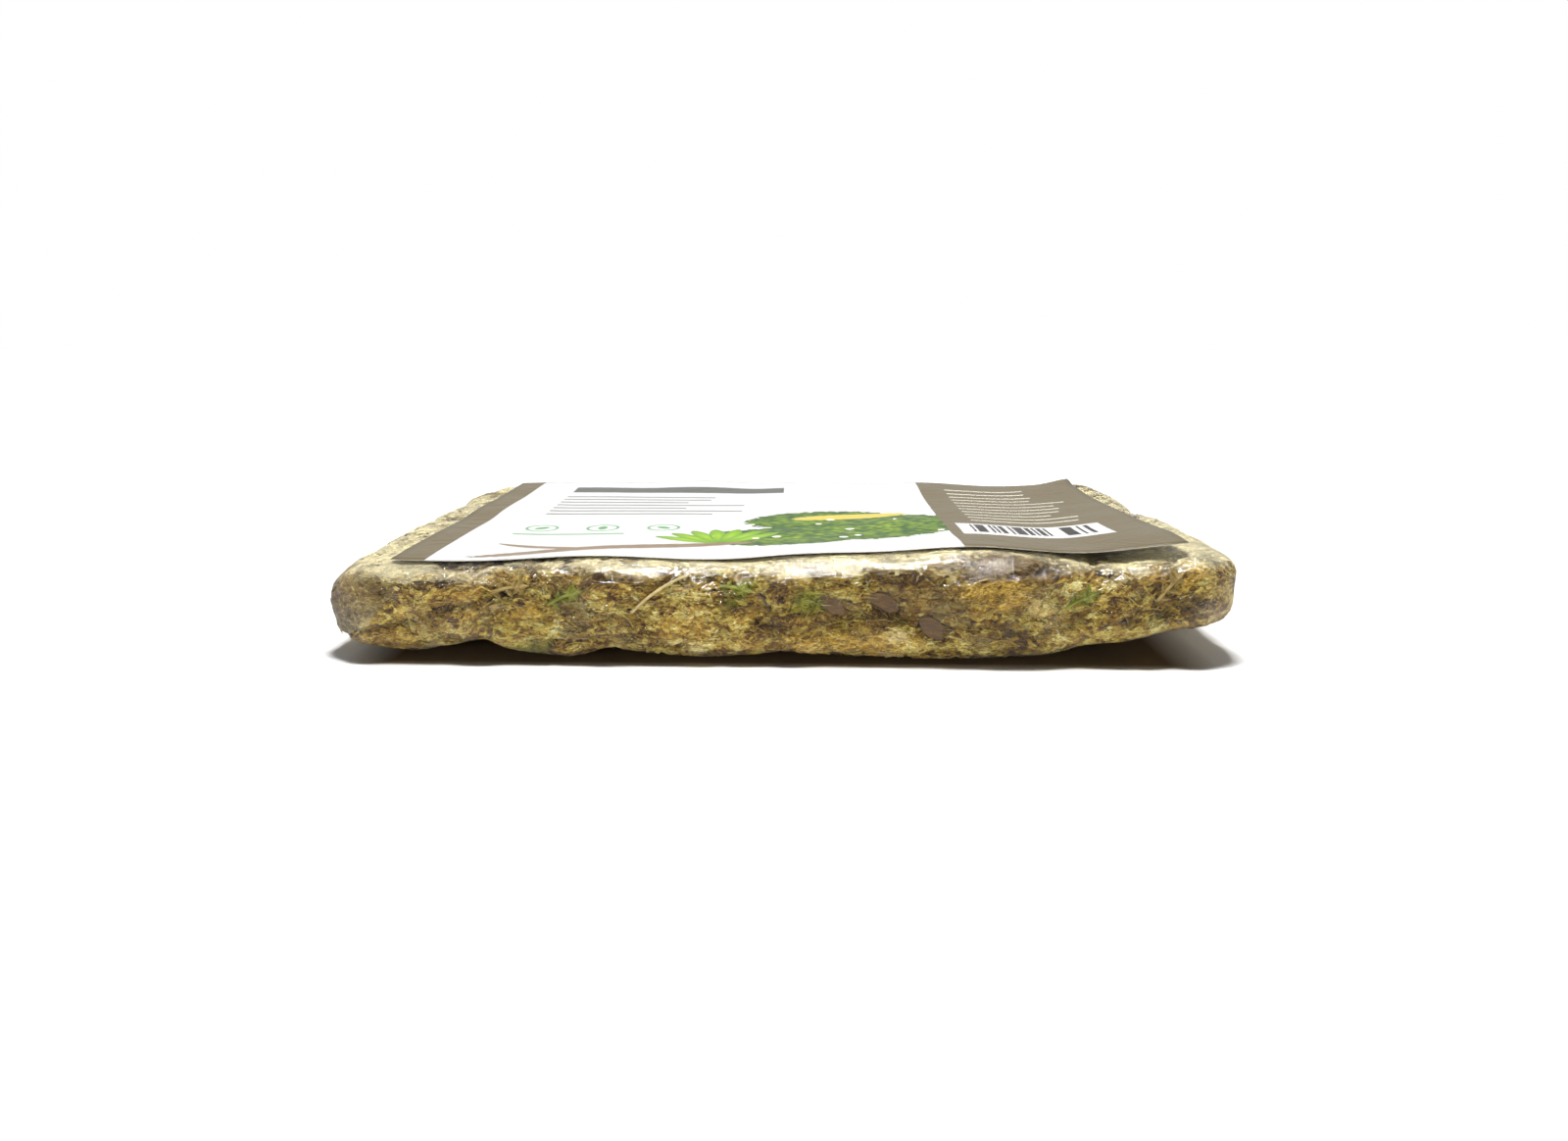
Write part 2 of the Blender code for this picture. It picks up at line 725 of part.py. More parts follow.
def lift_clear(obj, loose, moss, ground):
    """Moves a loose piece outwards in small steps until it lies a touching gap off the moss."""
    out = loose.frame()[3]
    own = [vertex.co for vertex in obj.data.vertices]
    low = Vector([min(co[k] for co in own) - 2 * MM for k in range(3)])
    high = Vector([max(co[k] for co in own) + 2 * MM for k in range(3)])
    near = [v.co for v in moss.data.vertices if all(low[k] < v.co[k] < high[k] for k in range(3))]
    for _ in range(MOST_LIFTS):
        tree = tree_of(obj)
        free = not tree.overlap(ground)
        free = free and all(ground.find_nearest(co)[3] > TOUCHING_GAP - GAP_MARGIN for co in own)
        free = free and all(tree.find_nearest(co)[3] > TOUCHING_GAP - GAP_MARGIN for co in near)
        if free:
            break
        for vertex in obj.data.vertices:
            vertex.co += out * LIFT_STEP
        own = [vertex.co for vertex in obj.data.vertices]


def film_heights(points, faces, inner):
    """Where each grid point of the film lies: stretched over all that is inside, at a shallow slope."""
    forms = [slab_form(point) for point in points]
    reach_in, reach_out = 4.0 * MM, 9.0 * MM
    heights = np.zeros(len(points))
    for k, (place, outward) in enumerate(forms):
        hit, _, _, away = inner.ray_cast(place + outward * reach_out, -outward, reach_in + reach_out)
        heights[k] = reach_out - away if hit else -0.5 * MM
    edges = np.array(sorted({tuple(sorted((f[k], f[k - 1]))) for f in faces for k in range(4)}))
    places = np.array([tuple(place) for place, _ in forms])
    lengths = np.linalg.norm(places[edges[:, 0]] - places[edges[:, 1]], axis=1)
    for _ in range(SPREAD_PASSES):
        for a, b in ((0, 1), (1, 0)):
            np.maximum.at(heights, edges[:, a], heights[edges[:, b]] - FILM_SLOPE * lengths)
    smooth = heights.copy()
    for _ in range(2):
        total, count = np.zeros(len(points)), np.zeros(len(points))
        for a, b in ((0, 1), (1, 0)):
            np.add.at(total, edges[:, a], smooth[edges[:, b]])
            np.add.at(count, edges[:, a], 1)
        smooth = 0.5 * smooth + 0.5 * total / count
    heights = np.maximum(smooth, heights - 0.15 * MM) + FILM_CLEAR
    return forms, heights


def build_film(points, faces, inside):
    """One wall of film round everything, flat where it meets the table, with vent holes at the back."""
    forms, heights = film_heights(points, faces, tree_of(*inside))
    placed = [place + outward * h for (place, outward), h in zip(forms, heights)]
    middle_z = sum(p.z for p in placed) / len(placed)
    vents = []
    for x in VENT_X:
        near = [p for p in placed if abs(p.x - x) < 3 * MM and p.y > 0.03]
        vents.append(min(near, key=lambda p: abs(p.z - middle_z) - 10 * p.y).copy())
    film = add_object("film_wrap", placed, faces, "clear_film")
    rest_flat(film)
    cut_vents(film, vents)
    thin_out(film, FILM_TRIANGLES)
    clear_of(film, inside)
    wall = film.modifiers.new("wall", "SOLIDIFY")
    wall.thickness = FILM_WALL
    wall.offset = 0.0
    sheet = film.copy()
    sheet.data = film.data.copy()
    sheet.modifiers.clear()
    apply_modifiers(film)
    for vertex in film.data.vertices:
        if vertex.co.z < REST_BAND:
            vertex.co.z = 0.0
    return film, sheet


def cut_vents(film, vents):
    """Round holes through the film's sheet, one at each vent."""
    shape = bmesh.new()
    shape.from_mesh(film.data)
    for vent in vents:
        inside = [f for f in shape.faces if (f.calc_center_median() - vent).length < VENT_RADIUS]
        bmesh.ops.delete(shape, geom=inside, context="FACES")
        for vertex in shape.verts:
            away = vertex.co - vent
            if vertex.is_boundary and away.length < 2 * VENT_RADIUS:
                flat = Vector((away.x, 0, away.z)).normalized() * VENT_RADIUS
                vertex.co.x, vertex.co.z = vent.x + flat.x, vent.z + flat.z
    shape.to_mesh(film.data)
    shape.free()


def rest_flat(film):
    """Presses the film flat where it stands on the table, half its wall above it."""
    for vertex in film.data.vertices:
        vertex.co.z = max(vertex.co.z, FILM_WALL / 2)


def clear_of(film, inside):
    """Moves the film's sheet outwards until all that is inside lies a touching gap from its wall."""
    need = FILM_WALL / 2 + TOUCHING_GAP + GAP_MARGIN
    probes = []
    for obj in inside:
        vertices = obj.data.vertices
        probes += [v.co.copy() for v in vertices]
        for edge in obj.data.edges:
            ends = [vertices[k].co for k in edge.vertices]
            probes.append((ends[0] + ends[1]) / 2)
    contents = tree_of(*inside)
    for _ in range(CLEARING_PASSES):
        lack = {}
        sheet = tree_of(film)
        for probe in probes:
            place, normal, face, away = sheet.find_nearest(probe)
            outside = (place - probe).dot(normal) < -0.5 * away
            short = need + away if outside else need - away
            if short > 0:
                for k in film.data.polygons[face].vertices:
                    lack[k] = max(lack.get(k, 0.0), short)
        for vertex in film.data.vertices:
            away = contents.find_nearest(vertex.co)[3]
            if away < need:
                lack[vertex.index] = max(lack.get(vertex.index, 0.0), need - away)
        if not lack:
            break
        normals = [vertex.normal.copy() for vertex in film.data.vertices]
        for k, short in lack.items():
            film.data.vertices[k].co += normals[k] * min(short, MOST_PUSH)
        rest_flat(film)
        film.data.update()


def build_label(film):
    """The label: a thin sheet that follows the film, its right front corner curled up."""
    ground = tree_of(film)
    count_x = round(LABEL_LENGTH / LABEL_STEP)
    count_y = round(LABEL_DEPTH / LABEL_STEP)
    corner_x = LABEL_CENTRE[0] - LABEL_LENGTH / 2
    corner_y = LABEL_CENTRE[1] - LABEL_DEPTH / 2
    step_x, step_y = LABEL_LENGTH / count_x, LABEL_DEPTH / count_y
    heights = np.zeros((count_x + 1, count_y + 1))
    for i, j in np.ndindex(heights.shape):
        above = Vector((corner_x + i * step_x, corner_y + j * step_y, 0.1))
        heights[i, j] = ground.ray_cast(above, Vector((0, 0, -1)))[0].z
    heights = ease(ease(heights))
    raise_over(film, heights, (corner_x, corner_y), (step_x, step_y))
    points = []
    for i, j in np.ndindex(heights.shape):
        to_corner = math.hypot(LABEL_LENGTH - i * step_x, j * step_y)
        curl = LABEL_CURL * (1 - smoothstep(0, LABEL_CURL_REACH, to_corner))
        height = heights[i, j] + LABEL_OVER_FILM + curl
        points.append((corner_x + i * step_x, corner_y + j * step_y, height))
    faces = []
    for i in range(count_x):
        for j in range(count_y):
            a = i * (count_y + 1) + j
            b = a + count_y + 1
            faces.append([a, b, b + 1, a + 1])
    label = add_object("label", points, faces, "printed_label")
    wall = label.modifiers.new("wall", "SOLIDIFY")
    wall.thickness = LABEL_THICK
    wall.offset = 0.0
    return label


def raise_over(film, heights, corner, steps):
    """Raises the label's grid until no point of the film's sheet stands over it."""
    vertices = film.data.vertices
    probes = [vertex.co for vertex in vertices]
    for edge in film.data.edges:
        ends = [vertices[k].co for k in edge.vertices]
        probes += [ends[0].lerp(ends[1], share) for share in (0.25, 0.5, 0.75)]
    for _ in range(8):
        for probe in probes:
            u, v = (probe.x - corner[0]) / steps[0], (probe.y - corner[1]) / steps[1]
            i, j = math.floor(u), math.floor(v)
            if not (0 <= i < heights.shape[0] - 1 and 0 <= j < heights.shape[1] - 1):
                continue
            u, v = u - i, v - j
            near = heights[i, j] * (1 - v) + heights[i, j + 1] * v
            far = heights[i + 1, j] * (1 - v) + heights[i + 1, j + 1] * v
            lack = probe.z - near * (1 - u) - far * u
            if lack > 0:
                heights[i : i + 2, j : j + 2] += lack


def ease(heights):
    """The grid with each height averaged with its neighbours."""
    wide = np.pad(heights, 1, mode="edge")
    total = wide[1:-1, 1:-1] * 2
    total += wide[:-2, 1:-1] + wide[2:, 1:-1] + wide[1:-1, :-2] + wide[1:-1, 2:]
    return total / 6


def centre_on_base(objects):
    """Moves everything so that the bounding box's base middle is the origin."""
    bpy.context.view_layer.update()
    graph = bpy.context.evaluated_depsgraph_get()
    corners = []
    for obj in objects:
        made = obj.evaluated_get(graph).to_mesh()
        corners += [v.co.copy() for v in made.vertices]
        obj.evaluated_get(graph).to_mesh_clear()
    low = Vector([min(c[k] for c in corners) for k in range(3)])
    high = Vector([max(c[k] for c in corners) for k in range(3)])
    shift = -Vector(((low.x + high.x) / 2, (low.y + high.y) / 2, low.z))
    for obj in objects:
        for vertex in obj.data.vertices:
            vertex.co += shift


def main():
    clear_scene()
    points, faces = cuboid_grid(GRID_STEP)
    moss = build_moss_slab(points, faces)
    ground = tree_of(moss)
    draw = random.Random(SEED + 1)
    made = [moss]
    made += [build_stalk(name, loose, ground) for name, loose in STALKS.items()]
    made += [build_twig(name, loose, ground) for name, loose in TWIGS.items()]
    made += [build_leaf_flake(name, loose, ground, draw) for name, loose in LEAF_FLAKES.items()]
    for group, material in ((GREEN_SPRIGS, "green_moss"), (GOLDEN_SPRIGS, "golden_moss")):
        made += [build_sprig(name, loose, ground, material, draw) for name, loose in group.items()]
    for obj, loose in zip(made[1:], BEDS):
        lift_clear(obj, loose, moss, ground)
    film, sheet = build_film(points, faces, made)
    label = build_label(sheet)
    bpy.data.objects.remove(sheet)
    centre_on_base([*made, film, label])


main()
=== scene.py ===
import json
import math
import random
from functools import partialmethod

import bmesh
import bpy
import numpy as np
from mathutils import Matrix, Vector, noise
from mathutils.bvhtree import BVHTree

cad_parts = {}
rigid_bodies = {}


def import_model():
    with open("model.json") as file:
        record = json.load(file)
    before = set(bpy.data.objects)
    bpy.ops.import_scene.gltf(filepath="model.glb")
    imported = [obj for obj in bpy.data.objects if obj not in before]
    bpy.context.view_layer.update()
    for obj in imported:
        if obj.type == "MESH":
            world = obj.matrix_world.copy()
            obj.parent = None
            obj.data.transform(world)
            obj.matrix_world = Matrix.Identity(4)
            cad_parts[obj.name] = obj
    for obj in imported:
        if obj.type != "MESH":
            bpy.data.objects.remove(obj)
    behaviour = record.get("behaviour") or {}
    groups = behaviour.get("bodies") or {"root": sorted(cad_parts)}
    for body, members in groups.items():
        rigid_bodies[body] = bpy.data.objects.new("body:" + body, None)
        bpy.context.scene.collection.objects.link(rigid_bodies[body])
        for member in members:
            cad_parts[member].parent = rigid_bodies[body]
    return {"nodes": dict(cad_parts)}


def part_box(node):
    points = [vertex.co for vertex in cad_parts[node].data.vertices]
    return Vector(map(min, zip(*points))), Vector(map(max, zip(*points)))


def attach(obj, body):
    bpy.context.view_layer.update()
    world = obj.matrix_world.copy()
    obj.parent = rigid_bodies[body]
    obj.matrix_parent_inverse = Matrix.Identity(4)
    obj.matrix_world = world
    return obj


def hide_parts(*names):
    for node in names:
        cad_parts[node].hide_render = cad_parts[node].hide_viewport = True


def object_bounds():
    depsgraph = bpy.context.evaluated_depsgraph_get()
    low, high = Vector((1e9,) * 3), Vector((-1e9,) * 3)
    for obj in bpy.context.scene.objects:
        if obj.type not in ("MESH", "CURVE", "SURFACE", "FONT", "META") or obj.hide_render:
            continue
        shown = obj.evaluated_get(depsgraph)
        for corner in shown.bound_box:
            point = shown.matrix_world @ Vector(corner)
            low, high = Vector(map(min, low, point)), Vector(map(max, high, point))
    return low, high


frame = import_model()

CAD_LOW, CAD_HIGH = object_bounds()

MM = 0.001
SEED = 7
CORE_VOXEL = 1.3 * MM
FILM_VOXEL = 1.6 * MM
FILM_WALL = 0.16 * MM
FILM_GAP = 0.12 * MM
FILM_SLOPE = 0.35
UNDER_FILM = 0.36 * MM
FILM_DEEPEST = 6.0 * MM
VENT_RADIUS = 3.0 * MM
LABEL_STEP = 3.0 * MM
LABEL_WALL = 0.22 * MM
LABEL_CURL = 1.5 * MM
CREASE_HALF = 0.9 * MM
CREASE_DEPTH = 1.3 * MM

# The camera, as the corners of the slab and of the label give it
LENS_MM = 26.11
CAMERA_PLACE = (0.0072, -0.3295, 0.0756)
CAMERA_DOWN, CAMERA_TURN = 0.2025, 0.0223

LOOSE = [name for name in frame["nodes"] if name not in ("moss_slab", "film_wrap", "label")]

# Places where the pressed moss has a tint of its own: centres and half sizes in millimetres, by kind
PATCHES = {
    "gold": (
        ((-69, -72, 19.0), (9.0, 7, 2.4)), ((-59.6, -73, 12.1), (3.2, 6, 2.2)),
        ((33.2, -73, 16.8), (3.2, 6, 2.2)), ((12, -73, 5.0), (12.5, 6, 2.8)),
        ((48.7, -73, 17.2), (10.5, 6, 3.6)), ((95, -72, 22.0), (4.2, 8, 2.8)),
    ),
    "green": (
        ((-51, -73, 16.0), (2.4, 5, 2.0)), ((-103, -69, 7.0), (1.2, 6, 1.5)),
        ((-7.1, -73, 18.4), (2.7, 5, 2.2)), ((7.6, -73, 14.8), (4.6, 6, 2.8)),
        ((88.5, -73, 12.3), (1.0, 6, 1.5)),
    ),
    "umber_and_crease_shade": (
        ((-108, -60, 14.0), (6.0, 16, 7.0)), ((-42, -73, 20.4), (7.0, 5, 2.3)),
        ((-46.6, -73, 9.6), (3.8, 6, 1.5)), ((13.7, -73, 13.9), (3.4, 6, 2.7)),
        ((24.6, -73, 14.7), (4.2, 6, 2.5)), ((38, -73, 8.0), (4.8, 6, 3.2)),
        ((29, -72, 20.6), (10, 6, 2.4)), ((-1, -73, 8.5), (5.0, 6, 2.0)),
        ((54.0, -70, 23.6), (19.0, 5, 4.0)), ((83, -73, 18.9), (3.4, 6, 2.3)),
    ),
    "grey": (
        ((-98.5, -70, 15.5), (7.5, 8, 6.0)), ((-103, -68, 9.5), (4.5, 10, 3.4)),
        ((-68.3, -73, 12.8), (2.6, 6, 3.0)), ((-38, -73, 5.4), (4.2, 6, 1.2)),
        ((20, -73, 7.2), (2.8, 6, 1.5)), ((36.8, -73, 15.9), (1.0, 6, 3.2)),
        ((71.3, -73, 14.5), (3.6, 6, 1.6)), ((47.7, -73, 6.6), (2.8, 6, 2.0)),
        ((95.4, -72, 15.0), (5.0, 8, 1.8)), ((81.5, -71, 26.2), (4.0, 6, 1.4)),
    ),
    "pale": (
        ((27.5, -73, 6.7), (2.8, 6, 1.5)), ((70, -72, 24.6), (9.5, 8, 2.6)),
    ),
}

# How strong a wild spot of each kind has to be to show, from 0 to 1
WILD = {"gold": 0.34, "green": 0.5, "umber_and_crease_shade": 0.33, "grey": 0.4, "pale": 0.46}

# Creases pressed into the front, darkened with painted shade, each a run of x and z in millimetres
CREASES = (
    ((-106, 6.0), (-89.7, 9.4), (-71.1, 14.2), (-56.1, 18.9)),
    ((-93, 16.5), (-80, 18.6), (-66, 17.4)),
    ((-84, 22.0), (-68, 21.4), (-50, 22.2)),
    ((-44, 20.0), (-30, 18.4), (-14, 20.2)),
    ((-58, 5.4), (-38, 7.0), (-22, 4.6)),
    ((-6, 9.6), (6, 8.6), (22, 10.6), (34, 10.0)),
    ((22, 20.6), (38, 19.4), (54, 21.4), (66, 22.6)),
    ((44, 10.2), (58, 8.4), (72, 10.4)),
    ((74, 21.6), (82, 19.6), (88, 15.8)),
    ((80, 11.4), (92, 12.8), (104, 11.8)),
)

# Single fibres on the front: half thickness in millimetres, tone, and a run of x and z
FIBRES = (
    (0.20, 1.0, ((-44.0, 17.4), (-39.1, 14.1), (-34.4, 12.1))),
    (0.16, 0.8, ((-103.0, 20.4), (-104.2, 16.8), (-104.0, 13.0), (-101.0, 10.5))),
    (0.13, 0.9, ((-101.0, 18.6), (-98.6, 15.5), (-101.8, 12.1))),
    (0.15, 0.1, ((-1.7, 11.8), (-1.0, 9.8), (-1.4, 7.8))),
    (0.42, 0.7, ((76.5, 24.8), (80.5, 22.2), (84.2, 19.6), (87.1, 16.4), (91.7, 14.1), (95.2, 10.0))),
    (0.34, 1.0, ((-20.4, 11.4), (-18.4, 12.6), (-16.2, 13.2))),
    (0.13, 0.9, ((-56.5, 20.8), (-54.1, 18.5), (-55.1, 15.7), (-52.5, 13.8))),
    (0.13, 0.9, ((20.4, 22.3), (21.8, 20.7), (20.5, 18.9), (22.6, 17.2))),
    (0.14, 0.8, ((-84.0, 20.2), (-78.5, 21.6), (-73.0, 20.4), (-70.2, 22.4))),
    (0.14, 0.9, ((60.5, 13.0), (64.4, 10.2), (69.6, 9.4), (74.0, 6.8))),
    (0.15, 1.0, ((41.0, 12.4), (43.0, 9.0), (47.2, 7.2))),
    (0.12, 0.8, ((-66.0, 9.0), (-60.5, 10.4), (-55.0, 8.6), (-50.2, 9.6))),
)


def read(items, key, width=3, kind=np.float32):
    """One row of numbers for each item of a mesh."""
    out = np.empty(len(items) * width, kind)
    items.foreach_get(key, out)
    return out.reshape(-1, width)


def coords(mesh):
    return read(mesh.vertices, "co").astype(float)


def normals(mesh):
    return read(mesh.vertex_normals, "vector").astype(float)


def set_coords(mesh, points):
    mesh.vertices.foreach_set("co", np.asarray(points, np.float32).ravel())
    mesh.update()


def edges_of(mesh):
    return read(mesh.edges, "vertices", 2, np.int32)


def new_object(name, mesh):
    obj = bpy.data.objects.new(name, mesh)
    bpy.context.scene.collection.objects.link(obj)
    return obj


def drop(obj):
    bpy.data.objects.remove(obj)


def evaluated_mesh(obj):
    bpy.context.view_layer.update()
    graph = bpy.context.evaluated_depsgraph_get()
    return bpy.data.meshes.new_from_object(obj.evaluated_get(graph))


def opened(mesh):
    shape = bmesh.new()
    shape.from_mesh(mesh)
    return shape


def closed(shape, mesh):
    shape.to_mesh(mesh)
    shape.free()
    return mesh


def merged_copy(name, node):
    """A copy of a CAD node's mesh with its corners joined."""
    shape = opened(frame["nodes"][node].data)
    bmesh.ops.remove_doubles(shape, verts=shape.verts, dist=1e-6)
    return closed(shape, bpy.data.meshes.new(name))


def remeshed(mesh, voxel):
    """The same closed form, rebuilt from even quads about one voxel wide."""
    helper = new_object("helper", mesh)
    modifier = helper.modifiers.new("even", "REMESH")
    modifier.mode = "VOXEL"
    modifier.voxel_size = voxel
    made = evaluated_mesh(helper)
    drop(helper)
    return made


def give_wall(obj, thickness):
    """Makes a sheet a thin wall that grows away from the side that it faces."""
    wall = obj.modifiers.new("wall", "SOLIDIFY")
    wall.thickness = thickness
    wall.offset = -1.0
    obj.data = evaluated_mesh(obj)
    obj.modifiers.clear()


def tree_of(*meshes):
    points, faces, start = [], [], 0
    for mesh in meshes:
        mesh.calc_loop_triangles()
        faces += (read(mesh.loop_triangles, "vertices", 3, np.int32) + start).tolist()
        points += coords(mesh).tolist()
        start = len(points)
    return BVHTree.FromPolygons(points, faces, all_triangles=True)


def smooth_over(values, edges, rounds):
    """Values at a mesh's points, each eased halfway to the mean of its neighbours."""
    count = np.zeros(len(values))
    np.add.at(count, edges.ravel(), 1)
    count = np.maximum(count, 1)
    for _ in range(rounds):
        total = np.zeros_like(values)
        np.add.at(total, edges[:, 0], values[edges[:, 1]])
        np.add.at(total, edges[:, 1], values[edges[:, 0]])
        values = 0.5 * values + 0.5 * (total.T / count).T
    return values


def coat(mesh, material):
    mesh.materials.clear()
    mesh.materials.append(material)


def shade_smooth(mesh):
    mesh.polygons.foreach_set("use_smooth", np.ones(len(mesh.polygons), bool))


def store(mesh, name, values, kind="FLOAT"):
    attribute = mesh.attributes.new(name, kind, "POINT")
    key = "value" if kind == "FLOAT" else "vector"
    attribute.data.foreach_set(key, np.asarray(values, np.float32).ravel())


def ridged(value):
    return 1.0 - 2.0 * abs(value)


def noise_at(points, size, shift=(0, 0, 0)):
    """Soft noise at each point, with bumps about one size apart."""
    return np.array([noise.noise(Vector(p) / size + Vector(shift)) for p in points])


def step_between(low, high, values):
    t = np.clip((values - low) / (high - low), 0, 1)
    return t * t * (3 - 2 * t)


class Nodes:
    """Adds nodes to a tree, with inputs given by name or place as values or as other nodes' sockets."""

    def __init__(self, tree):
        self.tree = tree

    def add(self, kind, inputs=None, **settings):
        node = self.tree.nodes.new(kind)
        for key, value in settings.items():
            setattr(node, key, value)
        for key, value in (inputs or {}).items():
            self.join(node.inputs[key], value)
        return node

    def join(self, socket, value):
        if isinstance(value, bpy.types.NodeSocket):
            self.tree.links.new(value, socket)
        else:
            socket.default_value = value

    def math(self, operation, a, b=0.0, c=0.0, clamp=False):
        node = self.add("ShaderNodeMath", {0: a, 1: b, 2: c}, operation=operation, use_clamp=clamp)
        return node.outputs[0]

    plus = partialmethod(math, "ADD")
    minus = partialmethod(math, "SUBTRACT")
    times = partialmethod(math, "MULTIPLY")
    line = partialmethod(math, "MULTIPLY_ADD")
    above = partialmethod(math, "GREATER_THAN")
    below = partialmethod(math, "LESS_THAN")

    def blend(self, factor, a, b, mode="MIX"):
        node = self.add("ShaderNodeMix", data_type="RGBA", blend_type=mode)
        self.join(node.inputs[0], factor)
        self.join(node.inputs[6], a)
        self.join(node.inputs[7], b)
        return node.outputs[2]

    def noise(self, vector, scale, detail=3.0, rough=0.55, distort=0.0):
        node = self.add("ShaderNodeTexNoise", {
            "Vector": vector, "Scale": scale, "Detail": detail, "Roughness": rough,
            "Distortion": distort})
        return node.outputs["Fac"]

    def ramp(self, factor, stops):
        node = self.add("ShaderNodeValToRGB", {"Fac": factor})
        elements = node.color_ramp.elements
        while len(elements) < len(stops):
            elements.new(1.0)
        for element, (place, colour) in zip(elements, stops):
            element.position = place
            element.color = colour
        return node.outputs["Color"]

    def attribute(self, name):
        return self.add("ShaderNodeAttribute", attribute_name=name).outputs["Fac"]

    def bump(self, height, strength, distance):
        node = self.add("ShaderNodeBump", {"Height": height, "Strength": strength, "Distance": distance})
        return node.outputs["Normal"]

    def object_place(self):
        return self.add("ShaderNodeTexCoord").outputs["Object"]

    def split(self, vector):
        return self.add("ShaderNodeSeparateXYZ", {0: vector}).outputs

    def stretched(self, vector, scale):
        return self.add("ShaderNodeMapping", {"Vector": vector, "Scale": scale}).outputs["Vector"]


def tone(red, green, blue):
    """Linear colour of a mixed paint given in everyday 0 to 255 steps."""
    def linear(c):
        c /= 255.0
        return c / 12.92 if c <= 0.04045 else ((c + 0.055) / 1.055) ** 2.4
    return (linear(red), linear(green), linear(blue), 1.0)


def shader_group(name, inputs, outputs):
    """A shader node group with named sockets, and its Nodes, inputs and outputs.

    An input with no value of its own is a vector, and an output called Color is a colour.
    """
    group = bpy.data.node_groups.new(name, "ShaderNodeTree")
    for title, value in inputs.items():
        kind = "NodeSocketVector" if value is None else "NodeSocketFloat"
        socket = group.interface.new_socket(name=title, in_out="INPUT", socket_type=kind)
        if value is not None:
            socket.default_value = value
    for title in outputs:
        kind = "NodeSocketColor" if title == "Color" else "NodeSocketFloat"
        group.interface.new_socket(name=title, in_out="OUTPUT", socket_type=kind)
    n = Nodes(group)
    return group, n, n.add("NodeGroupInput").outputs, n.add("NodeGroupOutput").inputs


def principled(name, roughness):
    """A material, its Nodes and its Principled shader, with a constant roughness."""
    material = bpy.data.materials.new(name)
    material.use_nodes = True
    shader = material.node_tree.nodes["Principled BSDF"]
    shader.inputs["Roughness"].default_value = roughness
    return material, Nodes(material.node_tree), shader


def fibre_group():
    """Fine dry fibre: small scraps with a tone each, painted shade in the cracks between them, a mottle
    and a height.
    """
    group, n, given, out = shader_group(
        "dry fibre", {"Vector": None, "Size": 900.0}, ("Height", "Mottle", "Scrap", "Crack_shade"))
    fine = n.noise(given["Vector"], given["Size"], 4.0, 0.65, 0.6)
    broad = n.noise(given["Vector"], n.times(given["Size"], 0.28), 3.0, 0.6, 1.2)
    sway = n.add("ShaderNodeTexNoise", {"Vector": given["Vector"], "Scale": 420.0, "Detail": 3.0})
    moved = n.add("ShaderNodeVectorMath", {
        0: sway.outputs["Color"], 1: (0.006, 0.006, 0.004), 2: given["Vector"]}, operation="MULTIPLY_ADD")
    flat = n.stretched(moved.outputs[0], (0.6, 0.6, 1.6))
    cell = n.add("ShaderNodeTexVoronoi", {"Vector": flat, "Scale": 520.0}).outputs
    scrap = n.add("ShaderNodeSeparateColor", {0: cell["Color"]}).outputs[0]
    layers = n.noise(n.stretched(given["Vector"], (0.6, 0.6, 1.5)), 380.0, 3.0, 0.6, 1.6)
    veins = n.noise(n.stretched(given["Vector"], (0.7, 0.7, 1.5)), 900.0, 2.0, 0.6, 1.2)
    layers, veins = (n.math("ABSOLUTE", n.minus(wave, 0.5)) for wave in (layers, veins))
    wide = n.minus(1.0, n.times(layers, 20.0), clamp=True)
    thin = n.minus(1.0, n.times(veins, 14.0), clamp=True)
    # painted shade: the cracks follow the low grooves of the height and darken the colour there
    crack_shade = n.math("MAXIMUM", wide, n.times(thin, 0.6))
    crack_shade = n.times(crack_shade, n.line(broad, 4.0, -1.1, clamp=True))
    dome = n.plus(n.times(layers, 5.0, clamp=True), n.times(veins, 2.0, clamp=True))
    height = n.plus(n.times(n.plus(fine, broad), 0.6), dome)
    n.join(out["Height"], height)
    n.join(out["Mottle"], n.line(fine, 0.6, n.times(broad, 0.5), clamp=True))
    n.join(out["Scrap"], scrap)
    n.join(out["Crack_shade"], crack_shade)
    return group


FIBRE = fibre_group()

# Dried moss from its darkest scraps to its palest
MOSS_STOPS = (
    (0.00, tone(60, 38, 16)),
    (0.18, tone(104, 72, 28)),
    (0.36, tone(148, 112, 44)),
    (0.52, tone(182, 147, 62)),
    (0.68, tone(206, 179, 86)),
    (0.84, tone(218, 202, 120)),
    (1.00, tone(238, 226, 162)),
)

# How much of each patch's colour shows in it, and that colour: the moss's own, except that umber also
# carries painted shade in the creases and pale a painted sheen on the upward faces
PATCH_PAINT = (
    ("Gold", 0.6, tone(200, 158, 62)),
    ("Green", 0.8, tone(118, 122, 18)),
    ("Umber_and_crease_shade", 0.75, tone(92, 64, 30)),
    ("Grey", 0.7, tone(112, 92, 58)),
    ("Pale", 0.85, tone(238, 228, 186)),
)


